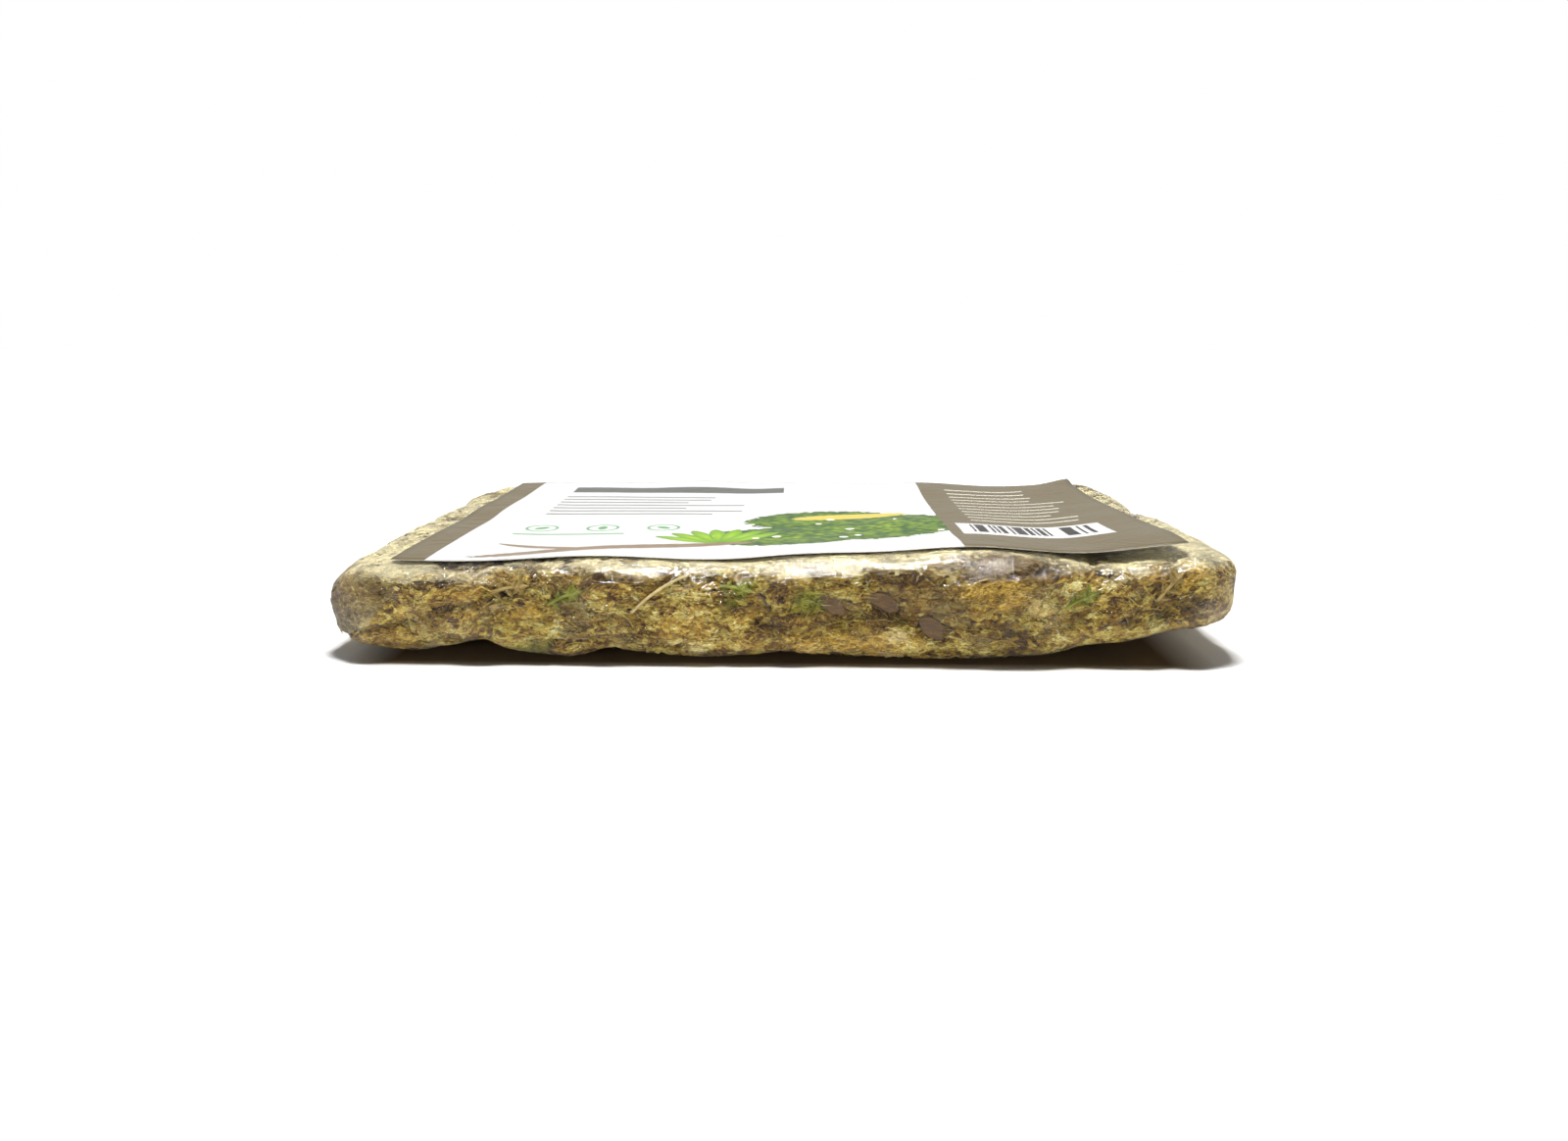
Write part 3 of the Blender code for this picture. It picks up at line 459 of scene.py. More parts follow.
def moss_colour_group():
    """Colour of one scrap of dried moss from its own tone, from the patch that it lies in, and from
    painted shade in its cracks.
    """
    inputs = {"Vector": None, "Tone": 0.5, "Mottle": 0.5, "Scrap": 0.5, "Crack_shade": 0.0}
    inputs.update({kind: 0.0 for kind, _, _ in PATCH_PAINT})
    group, n, given, out = shader_group("dried moss colour", inputs, ("Color",))
    drift = n.noise(given["Vector"], 70.0, 3.0, 0.6, 0.8)
    mats = n.noise(given["Vector"], 240.0, 2.0, 0.5, 1.0)
    place = n.line(given["Tone"], 0.56, n.line(drift, 0.9, -0.8))
    place = n.line(mats, 0.7, place)
    place = n.line(given["Scrap"], 0.34, place)
    place = n.line(n.minus(given["Mottle"], 0.5), 0.5, place, clamp=True)
    colour = n.ramp(place, MOSS_STOPS)
    olive = n.noise(given["Vector"], 38.0, 2.0, 0.5, 0.5)
    olive = n.line(olive, 4.0, -1.7, clamp=True)
    colour = n.blend(n.times(olive, 0.35), colour, tone(184, 196, 120), "MULTIPLY")
    for kind, share, mix in PATCH_PAINT:
        shaded = n.blend(0.6, mix, n.line(place, 1.1, 0.4), "MULTIPLY")
        colour = n.blend(n.times(given[kind], share), colour, shaded)
    shade = n.line(given["Mottle"], 0.6, 0.68)
    # painted shade: the cracks darken the colour
    shade = n.times(shade, n.line(given["Crack_shade"], -0.93, 1.0))
    # the pale mask, partly a painted sheen on upward faces, washes out the mottle and the painted crack
    # shade
    calm = n.times(n.minus(1.0, shade), n.times(given["Pale"], 0.6))
    shade = n.plus(shade, calm)
    n.join(out["Color"], n.blend(1.0, colour, shade, "MULTIPLY"))
    return group


MOSS_COLOUR = moss_colour_group()


def moss_material(name, dark, bump, size):
    """Dried moss: dark is how much of its colour the deepest hollows keep, as painted shade for the mass
    behind the leaves.
    """
    material, n, shader = principled(name, 0.82)
    place = n.object_place()
    fibre = n.add("ShaderNodeGroup", {"Vector": place, "Size": size}, node_tree=FIBRE)
    inputs = {"Vector": place, "Tone": n.attribute("tone")}
    inputs.update({title: fibre.outputs[title] for title in ("Mottle", "Scrap", "Crack_shade")})
    inputs.update({kind: n.attribute(kind.lower()) for kind, _, _ in PATCH_PAINT})
    paint = n.add("ShaderNodeGroup", inputs, node_tree=MOSS_COLOUR).outputs["Color"]
    if dark < 1.0:
        # painted shade: the low points of the mass, by their height, are darkened
        painted_hollow_shade = n.line(n.attribute("height"), 1.0 - dark, dark)
        paint = n.blend(1.0, paint, painted_hollow_shade, "MULTIPLY")
    n.join(shader.inputs["Base Color"], paint)
    n.join(shader.inputs["Normal"], n.bump(fibre.outputs["Height"], bump, 0.3 * MM))
    shader.inputs["Specular IOR Level"].default_value = 0.25
    shader.inputs["Sheen Weight"].default_value = 0.15
    return material


# The loose pieces: name, pale and deep colour, and how tightly their streaks are drawn along each axis
STEMS = {
    "straw": ("dry straw", tone(228, 208, 152), tone(176, 150, 92), (300.0, 300.0, 900.0)),
    "twig": ("twig bark", tone(100, 74, 46), tone(50, 36, 22), (700.0, 700.0, 700.0)),
    "brown": ("brown leaf scrap", tone(122, 88, 44), tone(62, 42, 20), (260.0, 260.0, 900.0)),
    "green": ("green moss shoot", tone(156, 158, 56), tone(92, 98, 26), (600.0, 600.0, 600.0)),
    "golden": ("golden moss shoot", tone(180, 154, 86), tone(112, 90, 42), (600.0, 600.0, 600.0)),
}


def stem_material(name, pale, deep, stretch):
    """Dry stem, bark or leaf scrap with streaks along one direction."""
    material, n, shader = principled(name, 0.6)
    place = n.object_place()
    streak = n.noise(n.stretched(place, stretch), 1.0, 4.0, 0.6, 0.4)
    fibre = n.add("ShaderNodeGroup", {"Vector": place, "Size": 1400.0}, node_tree=FIBRE)
    mix = n.line(fibre.outputs["Mottle"], 0.5, n.line(streak, 1.6, -0.6), clamp=True)
    n.join(shader.inputs["Base Color"], n.blend(mix, deep, pale))
    height = n.plus(streak, n.times(fibre.outputs["Height"], 0.4))
    n.join(shader.inputs["Normal"], n.bump(height, 0.5, 0.2 * MM))
    return material


def film_material():
    """Clear shrink film: see-through, with gloss that breaks on wrinkles and a thin haze."""
    material = bpy.data.materials.new("clear shrink film")
    material.use_nodes = True
    tree = material.node_tree
    n = Nodes(tree)
    tree.nodes.remove(tree.nodes["Principled BSDF"])
    place = n.object_place()
    wrinkle = n.noise(n.stretched(place, (70.0, 190.0, 420.0)), 1.0, 4.0, 0.6, 1.5)
    crinkle = n.noise(place, 700.0, 2.0, 0.5, 0.5)
    height = n.plus(n.math("ABSOLUTE", n.minus(wrinkle, 0.5)), n.times(crinkle, 0.4))
    relief = n.bump(height, 0.8, 1.0 * MM)
    gloss = n.add("ShaderNodeBsdfAnisotropic", {
        "Color": (1, 1, 1, 1), "Roughness": 0.07, "Normal": relief})
    clear = n.add("ShaderNodeBsdfTransparent", {"Color": (0.99, 0.99, 0.98, 1)})
    haze = n.add("ShaderNodeBsdfDiffuse", {"Color": (0.9, 0.89, 0.83, 1), "Normal": relief})
    fresnel = n.add("ShaderNodeFresnel", {"IOR": 1.5, "Normal": relief}).outputs[0]
    body = n.add("ShaderNodeMixShader", {0: 0.002, 1: clear.outputs[0], 2: haze.outputs[0]})
    upper = n.attribute("upper")
    sheen = n.times(fresnel, n.line(upper, 0.12, 0.11))
    sheen = n.math("MINIMUM", sheen, n.line(upper, 0.055, 0.045))
    whole = n.add("ShaderNodeMixShader", {0: sheen, 1: body.outputs[0], 2: gloss.outputs[0]})
    n.join(tree.nodes["Material Output"].inputs["Surface"], whole.outputs[0])
    return material


# The label's left front corner, and on it, in millimetres from there, its left band and its right panel
LABEL_CORNER = (-93.27, -63.64)
BAND_END = 8.2
PANEL_START = 137.4


def rectangle_group():
    """1 inside a rectangle on the label, 0 outside."""
    inputs = {"X": 0.0, "Y": 0.0, "Left": 0.0, "Right": 1.0, "Front": 0.0, "Back": 1.0}
    group, n, given, out = shader_group("printed rectangle", inputs, ("Mask",))
    across, along = (
        n.times(n.above(given[axis], given[low]), n.below(given[axis], given[high]))
        for axis, low, high in (("X", "Left", "Right"), ("Y", "Front", "Back")))
    n.join(out["Mask"], n.times(across, along))
    return group


def label_material():
    """The printed sheet: bands of colour, a drawn moss cushion, plain rules, rings and bars."""
    material, n, shader = principled("printed label", 0.34)
    box = rectangle_group()
    place = n.add("ShaderNodeMapping", {
        "Vector": n.object_place(), "Location": (-LABEL_CORNER[0], -LABEL_CORNER[1], 0.0),
        "Scale": (1000.0, 1000.0, 1000.0)}).outputs["Vector"]
    x, y, _ = n.split(place)
    white, taupe = tone(211, 211, 210), tone(108, 97, 72)
    colour = white

    def paint(mask, ink):
        nonlocal colour
        colour = n.blend(mask, colour, ink)

    def rectangle(left, right, front, back):
        sides = {"X": x, "Y": y, "Left": left, "Right": right, "Front": front, "Back": back}
        return n.add("ShaderNodeGroup", sides, node_tree=box).outputs["Mask"]

    def oval(cx, cy, rx, ry, turn=0.0, ragged=0.0, size=1.0):
        """Distance from an oval's middle: under 1 inside it."""
        moved = n.add("ShaderNodeMapping", {
            "Vector": place, "Location": (cx, cy, 0.0), "Rotation": (0.0, 0.0, math.radians(turn)),
            "Scale": (rx, ry, 1000.0)}, vector_type="TEXTURE").outputs["Vector"]
        away = n.add("ShaderNodeVectorMath", {0: moved}, operation="LENGTH").outputs["Value"]
        if ragged:
            away = n.plus(away, n.times(n.minus(n.noise(place, size, 2.0, 0.5), 0.5), ragged))
        return away

    def cells(scale, randomness):
        inputs = {"Vector": place, "Scale": scale, "Randomness": randomness}
        return n.add("ShaderNodeTexVoronoi", inputs).outputs["Distance"]

    def draw(seed):
        return n.add("ShaderNodeTexWhiteNoise", {"W": seed}, noise_dimensions="1D").outputs["Value"]

    def rules(left, right, front, back, pitch, thick, seed):
        """Plain rules where a sheet like this has its lines, their ends uneven."""
        row = n.math("DIVIDE", y, pitch)
        chance = draw(n.plus(n.math("FLOOR", row), seed))
        end = n.line(chance, 0.35 * (right - left), left + 0.65 * (right - left))
        across = n.below(n.math("FRACT", row), thick / pitch)
        return n.times(n.times(rectangle(left, right, front, back), across), n.below(x, end))

    paint(rectangle(-5, BAND_END, -5, 140), taupe)

    # the drawn cushion: three mounds of leaves, a gold patch, fronds, twigs and pale dots
    leafy = n.plus(n.noise(place, 0.16, 3.0, 0.6), 0.35)
    leafy = n.line(cells(0.42, 0.9), -0.75, leafy, clamp=True)
    greens = n.ramp(leafy, (
        (0.0, tone(34, 60, 18)), (0.35, tone(64, 98, 22)),
        (0.6, tone(112, 142, 16)), (1.0, tone(172, 184, 40))))
    clear = n.below(x, PANEL_START)
    for mound in ((118, 44, 30, 20, 8), (92, 30, 20, 13, -6), (104, 58, 22, 13, 14)):
        away = oval(*mound, 0.35, 0.5)
        shaded = n.blend(n.times(away, 0.55, clamp=True), greens, tone(52, 84, 36))
        paint(n.times(n.below(away, 1.0), clear), shaded)
    gold = n.below(oval(112.0, 62.0, 17.0, 4.0, 12, 0.3, 0.6), 1.0)
    paint(n.times(gold, clear), tone(206, 186, 84))
    for turn in range(150, 47, -17):
        out, up = math.cos(math.radians(turn)), math.sin(math.radians(turn))
        frond = oval(78.0 + 11.7 * out, 22.0 + 11.7 * up, 9.5, 2.3, turn, 0.12, 0.9)
        bright = n.blend(n.times(frond, 0.8, clamp=True), tone(150, 190, 24), tone(88, 136, 14))
        paint(n.below(frond, 1.0), bright)
    grain = n.noise(n.stretched(place, (0.2, 1.6, 1.0)), 1.0)
    grain = n.blend(grain, tone(116, 96, 74), tone(158, 138, 112))
    for twig in ((52.0, 14.0, 36.0, 3.2, 16), (34.0, 16.5, 15.0, 1.7, -24)):
        paint(n.below(oval(*twig, 0.3, 0.7), 1.0), grain)
    dotted = n.times(n.below(cells(0.115, 1.0), 0.14), n.below(oval(104.0, 40.0, 34.0, 26.0), 1.0))
    paint(n.times(dotted, clear), tone(246, 244, 226))

    paint(rectangle(22, 92, 108, 117), tone(96, 98, 92))
    paint(rules(22, 84, 66, 103, 5.2, 1.7, 3.0), tone(128, 128, 124))
    for k in range(3):
        middle = (26.0 + 17.0 * k, 46.0)
        ring = oval(*middle, 4.6, 4.6)
        band = n.times(n.below(ring, 1.0), n.above(ring, 0.84))
        core = n.below(oval(*middle, 2.2, 1.3, 40 + 50 * k), 1.0)
        paint(n.math("MAXIMUM", band, core), tone(96, 158, 96))
    paint(rules(20, 66, 33, 40, 5.2, 1.6, 11.0), tone(120, 168, 118))

    # the right panel: pale rules, and plain bars on a white field
    paint(rectangle(PANEL_START, 200, -5, 140), taupe)
    paint(rules(146, 182, 50, 118, 6.4, 1.5, 23.0), tone(206, 200, 184))
    paint(rectangle(140.5, 179.5, 24, 44), white)
    bars = n.above(draw(n.math("FLOOR", n.times(x, 1.55))), 0.5)
    paint(n.times(bars, rectangle(144.0, 176.0, 28.5, 42.0)), tone(52, 48, 44))

    # the sheet's bare back
    paint(n.attribute("back"), tone(232, 230, 224))
    n.join(shader.inputs["Base Color"], colour)
    soft = n.noise(place, 0.045, 3.0, 0.5, 0.8)
    grain = n.noise(place, 4.0, 2.0, 0.5)
    crease = n.noise(n.stretched(place, (0.03, 0.09, 1.0)), 1.0, 2.0, 0.5, 1.0)
    crease = n.times(n.math("ABSOLUTE", n.minus(crease, 0.5)), 0.5)
    height = n.plus(soft, n.line(grain, 0.01, crease))
    n.join(shader.inputs["Normal"], n.bump(height, 0.35, 3.0 * MM))
    n.join(shader.inputs["Roughness"], n.line(soft, 0.2, 0.26))
    shader.inputs["Specular IOR Level"].default_value = 0.2
    return material


def floor_material():
    """A pale table with a painted shadow, deep brown, in the middle where the slab stands over it, and
    bright far out.
    """
    material, n, shader = principled("pale floor", 0.8)
    place = n.object_place()
    mottle = n.noise(place, 6.0, 2.0)
    pale = n.blend(mottle, (0.97, 0.97, 0.965, 1), (0.98, 0.98, 0.975, 1))
    split = n.split(place)
    reach = 0.0
    for axis, full, fade in (("X", 92.0 * MM, 12.0 * MM), ("Y", 70.0 * MM, 7.0 * MM)):
        over = n.minus(n.math("ABSOLUTE", split[axis]), full)
        over = n.math("DIVIDE", n.math("MAXIMUM", over, 0.0), fade)
        reach = n.line(over, over, reach)
    # painted shadow: the floor's colour turns deep brown under the slab's footprint
    under = n.minus(1.0, n.math("SQRT", reach), clamp=True)
    n.join(shader.inputs["Base Color"], n.blend(under, pale, (0.2, 0.14, 0.08, 1)))
    shader.inputs["Specular IOR Level"].default_value = 0.0
    shader.inputs["Emission Color"].default_value = (1, 1, 1, 1)
    away = n.add("ShaderNodeVectorMath", {0: place}, operation="LENGTH").outputs["Value"]
    n.join(shader.inputs["Emission Strength"], n.line(away, 1.1, -0.45, clamp=True))
    return material


def patch_masks(points):
    """How strongly each kind of patch tints each point, with ragged rims and a few wild spots."""
    wave = np.array([noise.noise_vector(Vector(p) / 0.0035) for p in points]) * 1.3 * MM
    moved = points + wave
    masks = {}
    for seed, (kind, need) in enumerate(WILD.items()):
        masks[kind] = np.zeros(len(points))
        for centre, half in PATCHES[kind]:
            gap = (moved - np.array(centre) * MM) / (np.array(half) * MM)
            away = np.linalg.norm(gap, axis=1)
            masks[kind] = np.maximum(masks[kind], 1 - step_between(0.7, 1.15, away))
        wild = noise_at(moved, 12.5 * MM, (3.1 * seed, 7.7 * seed, 1.3))
        masks[kind] = np.maximum(masks[kind], 0.8 * step_between(need, need + 0.1, wild))
    return masks


def relief_height(place, normal, free):
    """Height of the mass over the CAD form: strata on the sides, leafy lumps above and below."""
    side = math.hypot(normal[0], normal[1]) ** 2
    x, y, z = place
    along = x if abs(normal[1]) > abs(normal[0]) else y
    drift = 2.0 * MM * noise.noise(Vector((x / 0.02, y / 0.02, z / 0.02)))
    strata = ridged(noise.noise(Vector((along / 0.012, 3.0, (z + drift) / 0.0024))))
    lumps = noise.noise(Vector((x, y, z)) / 0.004)
    crumb = ridged(noise.noise(Vector((x, y, z)) / 0.0022))
    full = free * (0.95 + 0.4 * step_between(0.5, 0.9, normal[2]))
    return (side * 0.8 * strata + 0.4 * lumps + 0.4 * crumb - 0.7 + full) * MM


def groove(points):
    """1 in the middle of a crease on the front, 0 away from all of them."""
    flat, least = points[:, [0, 2]], np.full(len(points), 1.0)
    for run in CREASES:
        for a, b in zip(run, run[1:]):
            start, along = np.array(a) * MM, (np.array(b) - a) * MM
            share = np.clip((flat - start) @ along / (along @ along), 0, 1)
            least = np.minimum(least, np.linalg.norm(flat - start - share[:, None] * along, axis=1))
    on_front = points[:, 1] < -55 * MM
    broken = step_between(-0.5, 0.1, noise_at(points, 4 * MM))
    return np.exp(-(least / CREASE_HALF) ** 2) * on_front * broken


def clear_of_loose(points):
    """0 beside a loose piece, 1 away from all of them."""
    loose = tree_of(*[frame["nodes"][name].data for name in LOOSE])
    away = np.array([loose.find_nearest(Vector(p), 0.004)[3] or 0.004 for p in points])
    return step_between(0.3 * MM, 1.1 * MM, away)


def build_core(form_tree, lift):
    """The moss mass: the CAD slab rebuilt finely, with strata and crumbs raised on it."""
    mesh = remeshed(merged_copy("slab", "moss_slab"), CORE_VOXEL)
    points, out = coords(mesh), normals(mesh)
    lift.apply(points)
    free = clear_of_loose(points)
    cut = groove(points)
    heights = np.array([relief_height(*each) for each in zip(points, out, free)])
    heights -= CREASE_DEPTH * cut
    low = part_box("moss_slab")[0].z
    moved = points + out * heights[:, None]
    moved[:, 2] = np.maximum(moved[:, 2], low + 0.1 * MM)
    set_coords(mesh, moved)
    press_under(mesh, form_tree, UNDER_FILM)
    moved = coords(mesh)
    shade_smooth(mesh)
    core = new_object("moss_mass", mesh)
    full = free * (0.95 + 0.4 * step_between(0.5, 0.9, out[:, 2]))
    # painted shade: points low in the relief get a darker tone and a lower height, which darkens them
    # further
    level = step_between(-1.4 * MM, 0.1 * MM, heights - full * MM)
    store(mesh, "height", level)
    store(mesh, "tone", 0.25 + 0.4 * level)
    masks = patch_masks(moved)
    # painted shade: the creases take the umber colour
    masks["umber_and_crease_shade"] = np.maximum(masks["umber_and_crease_shade"], cut)
    # painted sheen: upward faces, away from umber and grey, turn pale
    upper = step_between(0.45, 0.9, out[:, 2]) * (1 - np.maximum(masks["umber_and_crease_shade"], masks["grey"]))
    masks["pale"] = np.maximum(0.45 * masks["pale"], 0.9 * upper)
    for kind, mask in masks.items():
        store(mesh, kind, mask)
    return core


def mark_cover(core):
    """Where each group of leaves grows, and which way it lies, as attributes of the mass."""
    mesh = core.data
    points, out = coords(mesh), normals(mesh)
    label_low, label_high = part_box("label")
    free = clear_of_loose(points)
    inset = 16.0 * MM
    covered = (out[:, 2] > 0.6) & (points[:, 2] > 0.017)
    covered &= (points[:, 0] > label_low.x + inset) & (points[:, 0] < label_high.x - inset)
    covered &= (points[:, 1] > label_low.y + inset) & (points[:, 1] < label_high.y - inset)
    open_to_view = free * ~covered * (1 - 0.8 * step_between(0.3, 0.8, groove(points)))
    up, side = out[:, 2], np.hypot(out[:, 0], out[:, 1])
    on_end = np.abs(out[:, 0]) > np.abs(out[:, 1])
    level = side > np.abs(up) * 0.9
    regions = {
        "front": level & ~on_end & (points[:, 1] < 0),
        "back": level & ~on_end & (points[:, 1] > 0),
        "ends": level & on_end,
        "rim": ~level & (up > 0),
        "under": ~level & (up < 0),
    }
    for name, inside in regions.items():
        store(mesh, "cover_" + name, open_to_view * inside)
    lay = np.empty_like(points)
    for k, (p, n) in enumerate(zip(points, out)):
        normal = Vector(n)
        upright = abs(n[2]) < 0.72
        straight = normal.cross(Vector((0, 0, 1) if upright else (0, 1, 0))).normalized()
        swirl = 1.1 * noise.noise(Vector(p) / 0.011)
        if not upright:
            swirl += 3.0 * noise.noise(Vector(p) / 0.02)
        lay[k] = straight * math.cos(swirl) + normal.cross(straight) * math.sin(swirl)
    store(mesh, "lay", lay, "FLOAT_VECTOR")


def closed_leaf(outline, ridge):
    """A thin closed scrap: its rim, a raised ridge on top and a flat underside."""
    rim = [Vector((x, y, z)) for x, y, z in outline]
    top = [Vector(r) for r in ridge]
    points = rim + top
    count, faces = len(rim), []
    nearest = [min(range(len(top)), key=lambda j: (top[j] - p).length) for p in rim]
    for k in range(count):
        after = (k + 1) % count
        a, b = count + nearest[k], count + nearest[after]
        faces.append((k, after, a))
        if a != b:
            faces.append((after, b, a))
    low = len(points)
    points.append(sum(rim, Vector()) / count - Vector((0, 0, 0.08)))
    faces += [((k + 1) % count, k, low) for k in range(count)]
    return points, faces


def leaf_shape(draw):
    """A short pointed leaf, its rim crinkled."""
    wide = draw.uniform(0.13, 0.25)
    outline = []
    for k in range(7):
        angle = 2 * math.pi * k / 7
        x = 0.5 * math.cos(angle)
        y = wide * math.sin(angle) * (1.0 if math.cos(angle) < 0.3 else 0.72)
        outline.append((x, y * draw.uniform(0.8, 1.15), draw.uniform(-0.05, 0.06)))
    return closed_leaf(outline, ((-0.25, 0.0, 0.09), (0.16, draw.uniform(-0.04, 0.04), 0.1)))


def scrap_shape(draw):
    """A torn scrap with an uneven rim."""
    outline = []
    for k in range(8):
        angle = 2 * math.pi * k / 8
        reach = draw.uniform(0.5, 1.0)
        x, y = 0.54 * math.cos(angle) * reach, 0.3 * math.sin(angle) * reach
        outline.append((x, y, draw.uniform(-0.06, 0.07)))
    return closed_leaf(outline, ((-0.14, 0.03, 0.09), (0.14, -0.03, 0.07)))


def branch_shape(draw):
    """A flat branch with small overlapping leaves along both its sides."""
    outline, pairs = [], 3
    bend = draw.uniform(-0.16, 0.16)

    def middle(x):
        return bend * (1 - (2 * x) ** 2)

    for side in (1, -1):
        for k in range(pairs * 2):
            share = (k + 0.5) / (pairs * 2)
            x = (-0.5 + share) if side > 0 else (0.5 - share)
            size = 0.11 * math.sin(math.pi * min(0.97, max(0.12, x + 0.5))) + 0.035
            reach = size * (1.35 if k % 2 == 0 else 0.62) * draw.uniform(0.85, 1.15)
            outline.append((x, -side * reach + middle(x), draw.uniform(-0.02, 0.03)))
    ridge = [(x, middle(x), 0.055) for x in (-0.36, -0.12, 0.12, 0.36)]
    return closed_leaf(outline, ridge)


def rod_faces(first, rings, sides):
    """The faces of a closed rod, whose rings of points follow each other from the first point."""
    faces = []
    for start in range(first, first + (rings - 1) * sides, sides):
        for corner in range(sides):
            a, b = start + corner, start + (corner + 1) % sides
            faces.append((a, b, b + sides, a + sides))
    last = first + (rings - 1) * sides
    return faces + [tuple(reversed(range(first, first + sides))), tuple(range(last, last + sides))]


def strand_shape(draw):
    """A thin curled fibre."""
    points, stations = [], 5
    bend, sway, thick = draw.uniform(-0.3, 0.3), draw.uniform(-0.2, 0.2), draw.uniform(0.02, 0.036)
    for k in range(stations):
        share = k / (stations - 1)
        x = share - 0.5
        y = bend * math.sin(math.pi * share) + sway * math.sin(2 * math.pi * share)
        size = thick * (1.0 - 0.6 * share)
        for corner in range(3):
            angle = 2 * math.pi * corner / 3 + math.pi / 2
            points.append(Vector((x, y + size * math.cos(angle), 0.02 + size * math.sin(angle))))
    return points, rod_faces(0, stations, 3)


def star_shape(draw):
    """A pressed moss head: pointed lobes round a raised middle."""
    outline, lobes = [], 6
    for k in range(2 * lobes):
        angle = math.pi * k / lobes
        reach = draw.uniform(0.4, 0.55) if k % 2 == 0 else draw.uniform(0.13, 0.2)
        outline.append((reach * math.cos(angle), reach * math.sin(angle), draw.uniform(-0.03, 0.03)))
    return closed_leaf(outline, ((0.0, 0.0, 0.12),))


def shape_collection(name, makers):
    """A collection of small leaf meshes, three of each maker, to be scattered."""
    group = bpy.data.collections.new(name)
    bpy.context.scene.collection.children.link(group)
    draw = random.Random(SEED)
    for maker in makers:
        for k in range(3):
            points, faces = maker(draw)
            mesh = bpy.data.meshes.new(maker.__name__)
            mesh.from_pydata(points, [], faces)
            shape = opened(mesh)
            bmesh.ops.triangulate(shape, faces=shape.faces)
            bmesh.ops.recalc_face_normals(shape, faces=shape.faces)
            closed(shape, mesh)
            group.objects.link(bpy.data.objects.new(f"{maker.__name__}_{k}", mesh))
    return group


def scatter_tree():
    """Geometry nodes that lay small shapes on a surface, flat and along its lay."""
    group = bpy.data.node_groups.new("scattered leaves", "GeometryNodeTree")
    ids = {}
    for title, kind, value in (
        ("Geometry", "Geometry", None), ("Shapes", "Collection", None), ("Material", "Material", None),
        ("Cover", "String", "cover_front"), ("Per square metre", "Float", 100000.0),
        ("Shortest", "Float", 0.002), ("Longest", "Float", 0.005), ("Spread", "Float", 0.6),
        ("Tilt", "Float", 0.2), ("Sink", "Float", -0.0002), ("Rise", "Float", 0.0004),
        ("Darkest", "Float", 0.0), ("Seed", "Int", 0),
    ):
        socket = group.interface.new_socket(name=title, in_out="INPUT", socket_type="NodeSocket" + kind)
        if value is not None:
            socket.default_value = value
        ids[title] = socket.identifier
    group.interface.new_socket(name="Geometry", in_out="OUTPUT", socket_type="NodeSocketGeometry")
    n = Nodes(group)
    given = n.add("NodeGroupInput").outputs

    def draw(low, high, salt, kind="FLOAT"):
        node = n.add("FunctionNodeRandomValue", data_type=kind)
        used = [s for s in node.inputs if s.enabled]
        n.join(used[0], low)
        n.join(used[1], high)
        n.join(node.inputs["Seed"], n.plus(given["Seed"], float(salt)))
        return next(s for s in node.outputs if s.enabled)

    cover = n.add("GeometryNodeInputNamedAttribute", {"Name": given["Cover"]}, data_type="FLOAT")
    density = n.times(cover.outputs["Attribute"], given["Per square metre"])
    spread = n.add("GeometryNodeDistributePointsOnFaces", {
        "Mesh": given["Geometry"], "Density": density, "Seed": given["Seed"]})
    upright = n.add("FunctionNodeAlignRotationToVector", {"Vector": spread.outputs["Normal"]}, axis="Z")
    lay = n.add("GeometryNodeInputNamedAttribute", {"Name": "lay"}, data_type="FLOAT_VECTOR")
    lying = n.add("FunctionNodeAlignRotationToVector", {
        "Rotation": upright.outputs[0], "Vector": lay.outputs["Attribute"]}, axis="X", pivot_axis="Z")
    tilt, turn = given["Tilt"], given["Spread"]
    high = n.add("ShaderNodeCombineXYZ", {0: tilt, 1: tilt, 2: turn}).outputs[0]
    low = n.add("ShaderNodeVectorMath", {0: high, "Scale": -1.0}, operation="SCALE").outputs[0]
    twist = draw(low, high, 1, "FLOAT_VECTOR")
    euler = n.add("FunctionNodeEulerToRotation", {0: twist})
    turned = n.add("FunctionNodeRotateRotation", {
        "Rotation": lying.outputs[0], "Rotate By": euler.outputs[0]}, rotation_space="LOCAL")
    shapes = n.add("GeometryNodeCollectionInfo", {"Collection": given["Shapes"]})
    shapes.inputs["Separate Children"].default_value = True
    shapes.inputs["Reset Children"].default_value = True
    size = draw(given["Shortest"], given["Longest"], 2)
    placed = n.add("GeometryNodeInstanceOnPoints", {
        "Points": spread.outputs["Points"], "Instance": shapes.outputs[0],
        "Rotation": turned.outputs[0], "Scale": size})
    placed.inputs["Pick Instance"].default_value = True
    n.join(placed.inputs["Instance Index"], draw(0, 1000, 3, "INT"))
    lift = n.add("ShaderNodeCombineXYZ", {2: draw(given["Sink"], given["Rise"], 4)}).outputs[0]
    lifted = n.add("GeometryNodeTranslateInstances", {
        "Instances": placed.outputs[0], "Translation": lift})
    lifted.inputs["Local Space"].default_value = True
    toned = n.add("GeometryNodeStoreNamedAttribute", {
        "Geometry": lifted.outputs[0], "Name": "tone"}, data_type="FLOAT", domain="INSTANCE")
    n.join(toned.inputs["Value"], draw(given["Darkest"], 1.0, 5))
    real = n.add("GeometryNodeRealizeInstances", {"Geometry": toned.outputs[0]})
    finish = n.add("GeometryNodeSetMaterial", {
        "Geometry": real.outputs[0], "Material": given["Material"]})
    n.join(n.add("NodeGroupOutput").inputs[0], finish.outputs[0])
    return group, ids


SCATTER, SCATTER_IDS = scatter_tree()


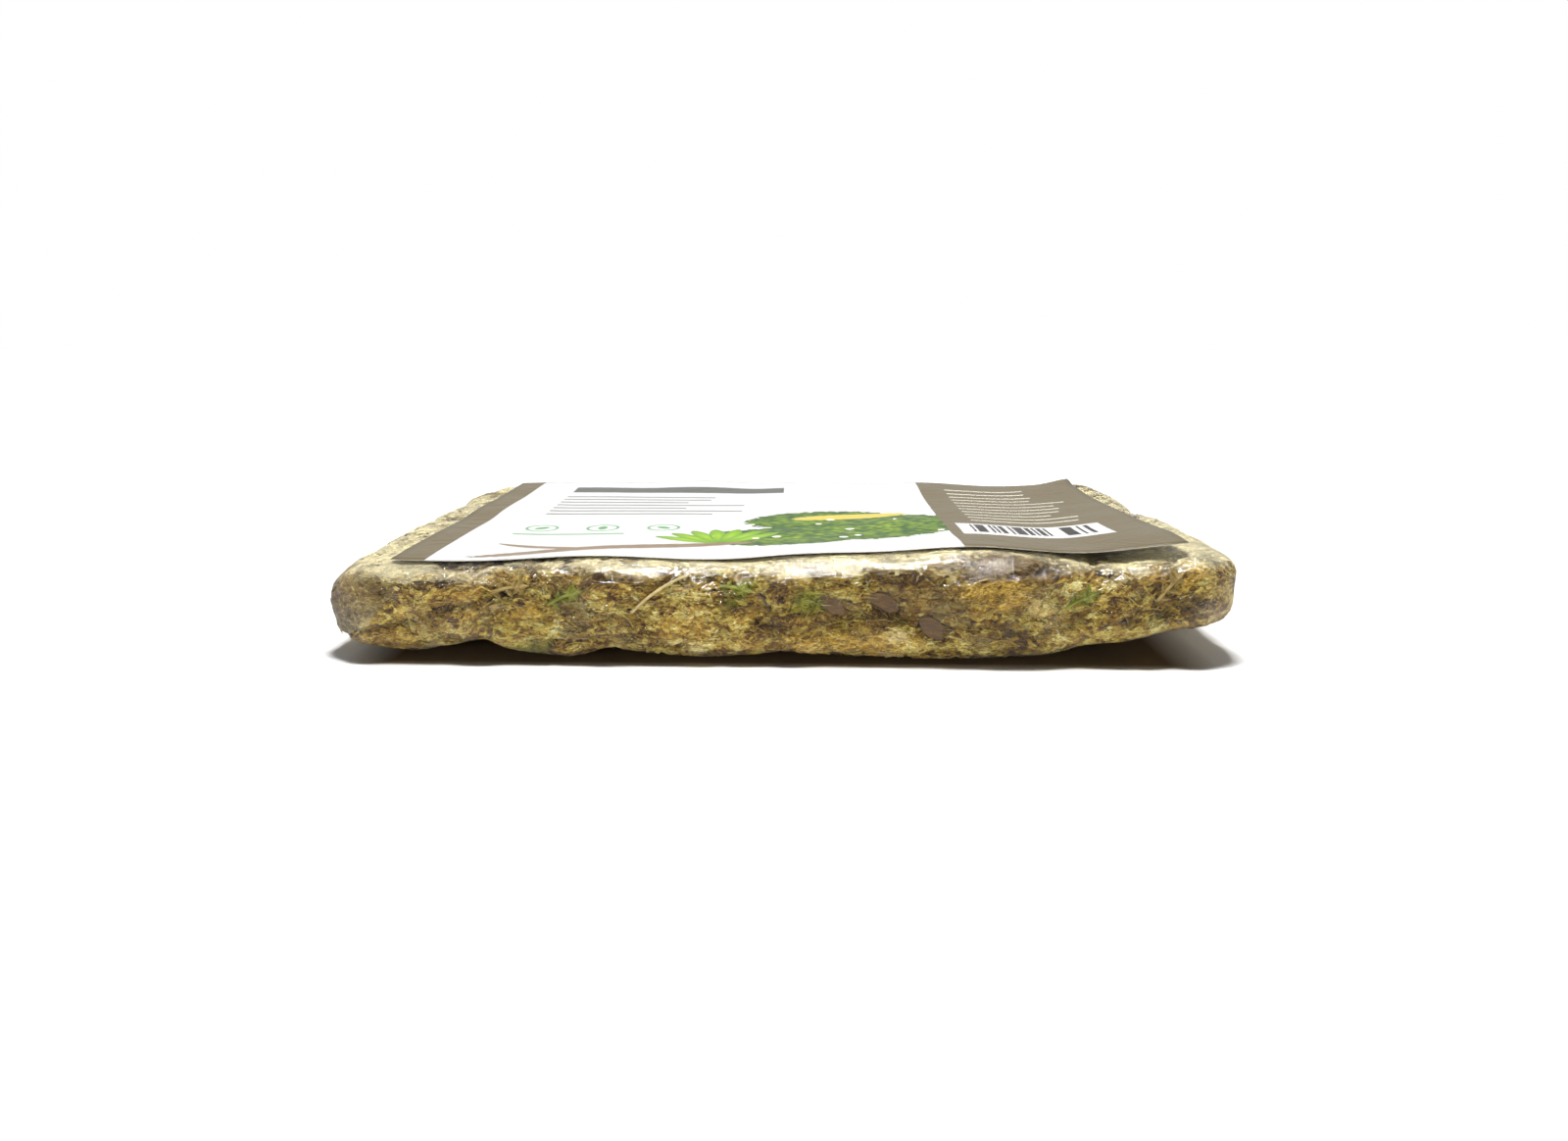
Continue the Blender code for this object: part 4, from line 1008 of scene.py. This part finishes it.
def scattered(core, shapes, material, **sizes):
    """The mesh of shapes laid on the core, made plain."""
    modifier = core.modifiers.new("scatter", "NODES")
    modifier.node_group = SCATTER
    values = {"Shapes": shapes, "Material": material}
    values.update({title.replace("_", " ").capitalize(): value for title, value in sizes.items()})
    for title, value in values.items():
        modifier[SCATTER_IDS[title]] = value
    mesh = evaluated_mesh(core)
    core.modifiers.remove(modifier)
    return mesh


def press_under(mesh, film_form, gap):
    """Moves points that would stand out of the film back under it, so the leaves lie pressed flat."""
    points = coords(mesh)
    for k, p in enumerate(points):
        place, normal, _, away = film_form.find_nearest(Vector(p))
        if (Vector(p) - place).dot(normal) > 0:
            away = -away
        if away < gap:
            points[k] = Vector(p) - normal * (gap - away)
    points[:, 2] = np.maximum(points[:, 2], gap + CAD_LOW.z)
    set_coords(mesh, points)


def placed_fibres(core_tree):
    """The single fibres of the front as closed five-sided rods on the mass."""
    points, faces, tones, sides, steps = [], [], [], 5, 6
    for half, shade, run in FIBRES:
        ends = [2 * np.array(run[0]) - run[1], *map(np.array, run), 2 * np.array(run[-1]) - run[-2]]
        path = []
        for a, b, c, d in zip(ends, ends[1:], ends[2:], ends[3:]):
            for t in np.linspace(0, 1, steps, endpoint=False):
                path.append(0.5 * (2 * b + (c - a) * t + (2 * a - 5 * b + 4 * c - d) * t ** 2
                                   + (3 * b - a - 3 * c + d) * t ** 3))
        path.append(ends[-2])
        spots = []
        for x, z in path:
            hit = core_tree.ray_cast(Vector((x * MM, -0.12, z * MM)), Vector((0, 1, 0)))[0]
            if hit:
                spots.append(hit - Vector((0, 0.35 * MM, 0)))
        first = len(points)
        for k, spot in enumerate(spots):
            along = (spots[min(k + 1, len(spots) - 1)] - spots[max(k - 1, 0)]).normalized()
            across = along.cross(Vector((0, 1, 0))).normalized()
            size = half * MM * (0.35 if k in (0, len(spots) - 1) else 1.0)
            for corner in range(sides):
                angle = 2 * math.pi * corner / sides
                outward = across * math.cos(angle) + along.cross(across) * math.sin(angle)
                points.append(spot + outward * size)
                tones.append(shade)
        faces += rod_faces(first, len(spots), sides)
    mesh = bpy.data.meshes.new("fibres")
    mesh.from_pydata(points, [], faces)
    store(mesh, "tone", tones)
    shade_smooth(mesh)
    return mesh


def joined(name, meshes):
    """One object from several meshes that keep their attributes."""
    objects = [new_object(name, mesh) for mesh in meshes]
    with bpy.context.temp_override(
        active_object=objects[0], object=objects[0],
        selected_objects=objects, selected_editable_objects=objects,
    ):
        bpy.ops.object.join()
    objects[0].name = name
    return objects[0]


def outer_film_form():
    """The CAD film's outer wall as a closed form, its vents closed, and the vents' middles."""
    shape = opened(merged_copy("film form", "film_wrap"))
    moss = tree_of(merged_copy("moss form", "moss_slab"))
    inner = []
    for face in shape.faces:
        middle = face.calc_center_median()
        if (middle - moss.find_nearest(middle)[0]).dot(face.normal) < 0:
            inner.append(face)
    bmesh.ops.delete(shape, geom=inner, context="FACES")
    open_edges = [e for e in shape.edges if e.is_boundary]
    vents = []
    unseen = dict.fromkeys(v for e in open_edges for v in e.verts)
    while unseen:
        ring, grow = [], [unseen.popitem()[0]]
        while grow:
            vertex = grow.pop()
            ring.append(vertex)
            near = [e.other_vert(vertex) for e in vertex.link_edges if e.is_boundary]
            near = [v for v in near if v in unseen]
            for other in near:
                del unseen[other]
            grow += near
        vents.append(sum((v.co for v in ring), Vector()) / len(ring))
    bmesh.ops.holes_fill(shape, edges=open_edges, sides=0)
    bmesh.ops.triangulate(shape, faces=shape.faces)
    return closed(shape, bpy.data.meshes.new("film form")), vents


def dented(form, lift):
    """The film's form raised to the label, its facets eased and its sides a little uneven."""
    raised = coords(form)
    lift.apply(raised)
    set_coords(form, raised)
    mesh = remeshed(form, FILM_VOXEL)
    points, out = coords(mesh), normals(mesh)
    eased = smooth_over(points, edges_of(mesh), 3)
    dents = noise_at(points, 6.5 * MM) + 0.4 * noise_at(points, 2.8 * MM)
    dents = (0.75 * dents + 0.12) * MM * step_between(0.35, 0.7, np.hypot(out[:, 0], out[:, 1]))
    eased += out * dents[:, None]
    set_coords(mesh, np.clip(eased, np.array(CAD_LOW), np.array(CAD_HIGH)))
    return mesh


def build_film(form, vents, contents, material):
    """The film stretched tight over what is inside, with round vents, as one thin wall."""
    mesh = form.copy()
    points, out = coords(mesh), normals(mesh)
    edges = edges_of(mesh)
    heights = np.empty(len(points))
    above, reach = 1.0 * MM, 9.0 * MM
    for k, (p, n) in enumerate(zip(points, out)):
        away = contents.ray_cast(Vector(p) + Vector(n) * above, -Vector(n), reach)[3]
        heights[k] = -(away - above if away else FILM_DEEPEST) + FILM_GAP + FILM_WALL
    lengths = np.linalg.norm(points[edges[:, 0]] - points[edges[:, 1]], axis=1)
    for _ in range(16):
        for a, b in ((0, 1), (1, 0)):
            np.maximum.at(heights, edges[:, a], heights[edges[:, b]] - FILM_SLOPE * lengths)
    eased = smooth_over(heights, edges, 2)
    heights = np.minimum(np.maximum(eased, heights - 0.05 * MM), 0.0)
    wrinkle = ridged(noise_at(points / np.array((9, 9, 5)), MM))
    crease = ridged(noise_at(points, 4.5 * MM))
    heights = np.minimum(heights + (0.1 * wrinkle + 0.12 * crease) * MM, 0.0)
    label_low, label_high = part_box("label")
    inside = np.minimum(points[:, 0] - label_low.x, label_high.x - points[:, 0])
    inside = np.minimum(inside, np.minimum(points[:, 1] - label_low.y, label_high.y - points[:, 1]))
    held = step_between(-5 * MM, 0.0, inside) * (out[:, 2] > 0.3)
    flat = step_between(0.6, 0.9, -out[:, 2]) * (points[:, 2] < 1.2 * MM)
    heights *= 1 - np.maximum(0.7 * held, flat)
    heights *= 1 - 0.4 * step_between(0.5, 0.85, np.abs(out[:, 0]))
    points = points + out * heights[:, None]
    points[:, 2] = np.maximum(points[:, 2], CAD_LOW.z)
    set_coords(mesh, points)
    shape = opened(mesh)
    for vent in vents:
        opening = [f for f in shape.faces if (f.calc_center_median() - vent).length < VENT_RADIUS]
        bmesh.ops.delete(shape, geom=opening, context="FACES")
        for vertex in shape.verts:
            away = vertex.co - vent
            if vertex.is_boundary and away.length < 2 * VENT_RADIUS:
                spoke = Vector((away.x, 0, away.z)).normalized() * VENT_RADIUS
                vertex.co.x, vertex.co.z = vent.x + spoke.x, vent.z + spoke.z
    closed(shape, mesh)
    shade_smooth(mesh)
    coat(mesh, material)
    film = new_object("shrink_film", mesh)
    give_wall(film, FILM_WALL)
    height = coords(film.data)[:, 2]
    upward = np.abs(normals(film.data)[:, 2]) * (height > 12 * MM)
    store(film.data, "upper", step_between(0.25, 0.8, upward))
    return film


def eased_grid(values, rounds):
    """A grid of heights, each eased towards its neighbours, its rims kept on their slope."""
    for _ in range(rounds):
        wide = np.pad(values, 1, mode="reflect", reflect_type="odd")
        near = wide[:-2, 1:-1] + wide[2:, 1:-1] + wide[1:-1, :-2] + wide[1:-1, 2:]
        values = 0.4 * values + 0.15 * near
    return values


class Lift:
    """The label's top as a grid, and how far the film's form rises to meet the label from below."""

    def __init__(self, form_tree):
        low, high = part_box("label")
        ground = tree_of(frame["nodes"]["label"].data)
        self.xs = np.linspace(low.x, high.x, round((high.x - low.x) / LABEL_STEP) + 1)
        self.ys = np.linspace(low.y, high.y, round((high.y - low.y) / LABEL_STEP) + 1)
        heights = np.empty((len(self.xs), len(self.ys)))
        gaps = np.empty_like(heights)
        edge, down = 0.05 * MM, Vector((0, 0, -1))
        for i, x in enumerate(np.clip(self.xs, low.x + edge, high.x - edge)):
            for j, y in enumerate(np.clip(self.ys, low.y + edge, high.y - edge)):
                above = Vector((x, y, 0.1))
                heights[i, j] = ground.ray_cast(above, down)[0].z
                gaps[i, j] = heights[i, j] - form_tree.ray_cast(above, down)[0].z
        self.top = eased_grid(heights, 8) - 0.05 * MM
        tip = np.minimum.outer(self.xs - high.x, self.ys - high.y)
        self.top += LABEL_CURL * step_between(-15 * MM, 0, tip) ** 2
        gaps -= heights - self.top
        near = np.pad(gaps, 1, mode="edge")
        rows, columns = gaps.shape
        near = np.min([near[a:a + rows, b:b + columns] for a in (0, 1, 2) for b in (0, 1, 2)], axis=0)
        room = np.clip(eased_grid(near, 3) - LABEL_WALL - 0.2 * MM, 0, 1.6 * MM)
        self.rise = room * (1 - step_between(60 * MM, 76 * MM, self.xs))[:, None]

    def apply(self, points):
        """Raises the upper points of a form towards the label, and those just round it a little."""
        spots = []
        reach = np.zeros(len(points))
        for axis, marks in ((0, self.xs), (1, self.ys)):
            inside = np.clip(points[:, axis], marks[0], marks[-1])
            reach = np.hypot(reach, points[:, axis] - inside)
            spots.append((inside - marks[0]) / (marks[1] - marks[0]))
        i = np.minimum(spots[0].astype(int), len(self.xs) - 2)
        j = np.minimum(spots[1].astype(int), len(self.ys) - 2)
        s, t = spots[0] - i, spots[1] - j
        rise = self.rise
        value = (rise[i, j] * (1 - s) * (1 - t) + rise[i + 1, j] * s * (1 - t)
                 + rise[i, j + 1] * (1 - s) * t + rise[i + 1, j + 1] * s * t)
        value *= 1 - step_between(0, 7 * MM, reach)
        points[:, 2] += value * step_between(11 * MM, 18 * MM, points[:, 2])


def build_label(material, lift):
    """The printed sheet on a fine grid, with soft waves."""
    points, faces = [], []
    rows, columns = lift.top.shape
    for i, x in enumerate(lift.xs):
        for j, y in enumerate(lift.ys):
            ripple = 0.04 * MM * noise.noise(Vector((x / 0.016, y / 0.024, 0.4)))
            points.append((x, y, lift.top[i, j] + ripple - 0.05 * MM))
    for i in range(rows - 1):
        for j in range(columns - 1):
            a = i * columns + j
            faces.append((a, a + columns, a + columns + 1, a + 1))
    mesh = bpy.data.meshes.new("label")
    mesh.from_pydata(points, [], faces)
    coat(mesh, material)
    shade_smooth(mesh)
    label = new_object("label_sheet", mesh)
    give_wall(label, LABEL_WALL)
    out = normals(label.data)
    store(label.data, "back", (out[:, 2] < -0.2).astype(float))
    return label


def build_stage():
    shape = bmesh.new()
    bmesh.ops.create_grid(shape, x_segments=24, y_segments=24, size=6.0)
    mesh = closed(shape, bpy.data.meshes.new("floor"))
    mesh.materials.append(floor_material())
    floor = new_object("floor", mesh)
    world = bpy.data.worlds.new("studio")
    world.use_nodes = True
    bpy.context.scene.world = world
    n = Nodes(world.node_tree)
    sky = world.node_tree.nodes["Background"]
    facing = n.split(n.add("ShaderNodeTexCoord").outputs["Generated"])
    behind = n.line(facing["Y"], 1.5, -0.1, clamp=True)
    light = n.blend(behind, (0.06, 0.06, 0.06, 1), (0.6, 0.6, 0.6, 1))
    seen = n.add("ShaderNodeLightPath").outputs["Is Camera Ray"]
    n.join(sky.inputs["Color"], n.blend(seen, light, (1.0, 1.0, 1.0, 1)))
    sky.inputs["Strength"].default_value = 1.0
    bpy.context.scene.view_settings.view_transform = "Standard"
    lights = (
        ("top light", (0.0, 0.0, 0.88), (0, 0, 0.01), 0.26, 0.12, 11.4),
        ("left light", (-0.6, -0.8, 0.1), (0, 0, 0.01), 0.3, 0.16, 2.8),
        ("right light", (0.7, -0.7, 0.1), (0, 0, 0.01), 0.3, 0.16, 1.5),
    )
    for name, place, aim, wide, deep, power in lights:
        lamp = bpy.data.lights.new(name, "AREA")
        lamp.shape = "RECTANGLE"
        lamp.size, lamp.size_y, lamp.energy = wide, deep, power
        obj = new_object(name, lamp)
        obj.location = place
        obj.rotation_mode = "QUATERNION"
        obj.rotation_quaternion = (Vector(place) - Vector(aim)).to_track_quat("Z", "Y")


def build_camera():
    lens = bpy.data.cameras.new("camera")
    lens.lens = LENS_MM
    lens.clip_start = 0.01
    camera = new_object("camera", lens)
    camera.location = CAMERA_PLACE
    camera.rotation_euler = (math.pi / 2 - CAMERA_DOWN, 0.0, CAMERA_TURN)
    bpy.context.scene.camera = camera


def main():
    build_camera()
    build_stage()
    leafy = moss_material("dried moss leaves", 1.0, 0.5, 900.0)
    # the mass behind the leaves, its hollows darkened with painted shade
    massy = moss_material("pressed moss mass", 0.3, 0.8, 700.0)

    form, vents = outer_film_form()
    lift = Lift(tree_of(form))
    form = dented(form, lift)
    form_tree = tree_of(form)
    core = build_core(form_tree, lift)
    coat(core.data, massy)
    mark_cover(core)

    leaves = shape_collection("leaf shapes", (leaf_shape, scrap_shape, branch_shape))
    strands = shape_collection("strand shapes", (strand_shape,))
    heads = shape_collection("head shapes", (star_shape,))
    made = [core]
    for k, (cover, density, spread) in enumerate((
        ("front", 2100000, 0.55), ("back", 1400000, 0.55), ("ends", 1200000, 0.55),
        ("rim", 560000, 3.1), ("under", 160000, 3.1),
    )):
        meshes = [
            scattered(core, leaves, leafy, cover="cover_" + cover, per_square_metre=density * 0.9,
                      shortest=1.8 * MM, longest=5.2 * MM, spread=spread, tilt=0.22,
                      sink=-0.1 * MM, rise=0.45 * MM, seed=10 * k + 1),
            scattered(core, strands, leafy, cover="cover_" + cover, per_square_metre=density * 0.11,
                      shortest=3.0 * MM, longest=9.0 * MM, spread=spread * 1.6, tilt=0.06,
                      sink=0.3 * MM, rise=0.6 * MM, darkest=0.6, seed=10 * k + 2),
            scattered(core, heads, leafy, cover="cover_" + cover, per_square_metre=density * 0.006,
                      shortest=3.0 * MM, longest=6.0 * MM, spread=3.1, tilt=0.08,
                      sink=0.3 * MM, rise=0.5 * MM, seed=10 * k + 3),
        ]
        if cover == "front":
            fibres = placed_fibres(tree_of(core.data))
            coat(fibres, leafy)
            meshes.append(fibres)
        piece = joined("moss_" + cover, meshes)
        press_under(piece.data, form_tree, UNDER_FILM)
        made.append(piece)
    for shapes in (leaves, strands, heads):
        for obj in list(shapes.objects):
            drop(obj)
        bpy.data.collections.remove(shapes)

    looks = {kind: stem_material(*look) for kind, look in STEMS.items()}
    for name in LOOSE:
        coat(frame["nodes"][name].data, looks[name.split("_")[0]])

    contents = tree_of(*[obj.data for obj in made], *[frame["nodes"][name].data for name in LOOSE])
    film = build_film(form, vents, contents, film_material())
    label = build_label(label_material(), lift)

    for obj in made:
        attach(obj, "root")
    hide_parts("moss_slab")
    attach(film, "root")
    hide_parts("film_wrap")
    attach(label, "root")
    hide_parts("label")


main()
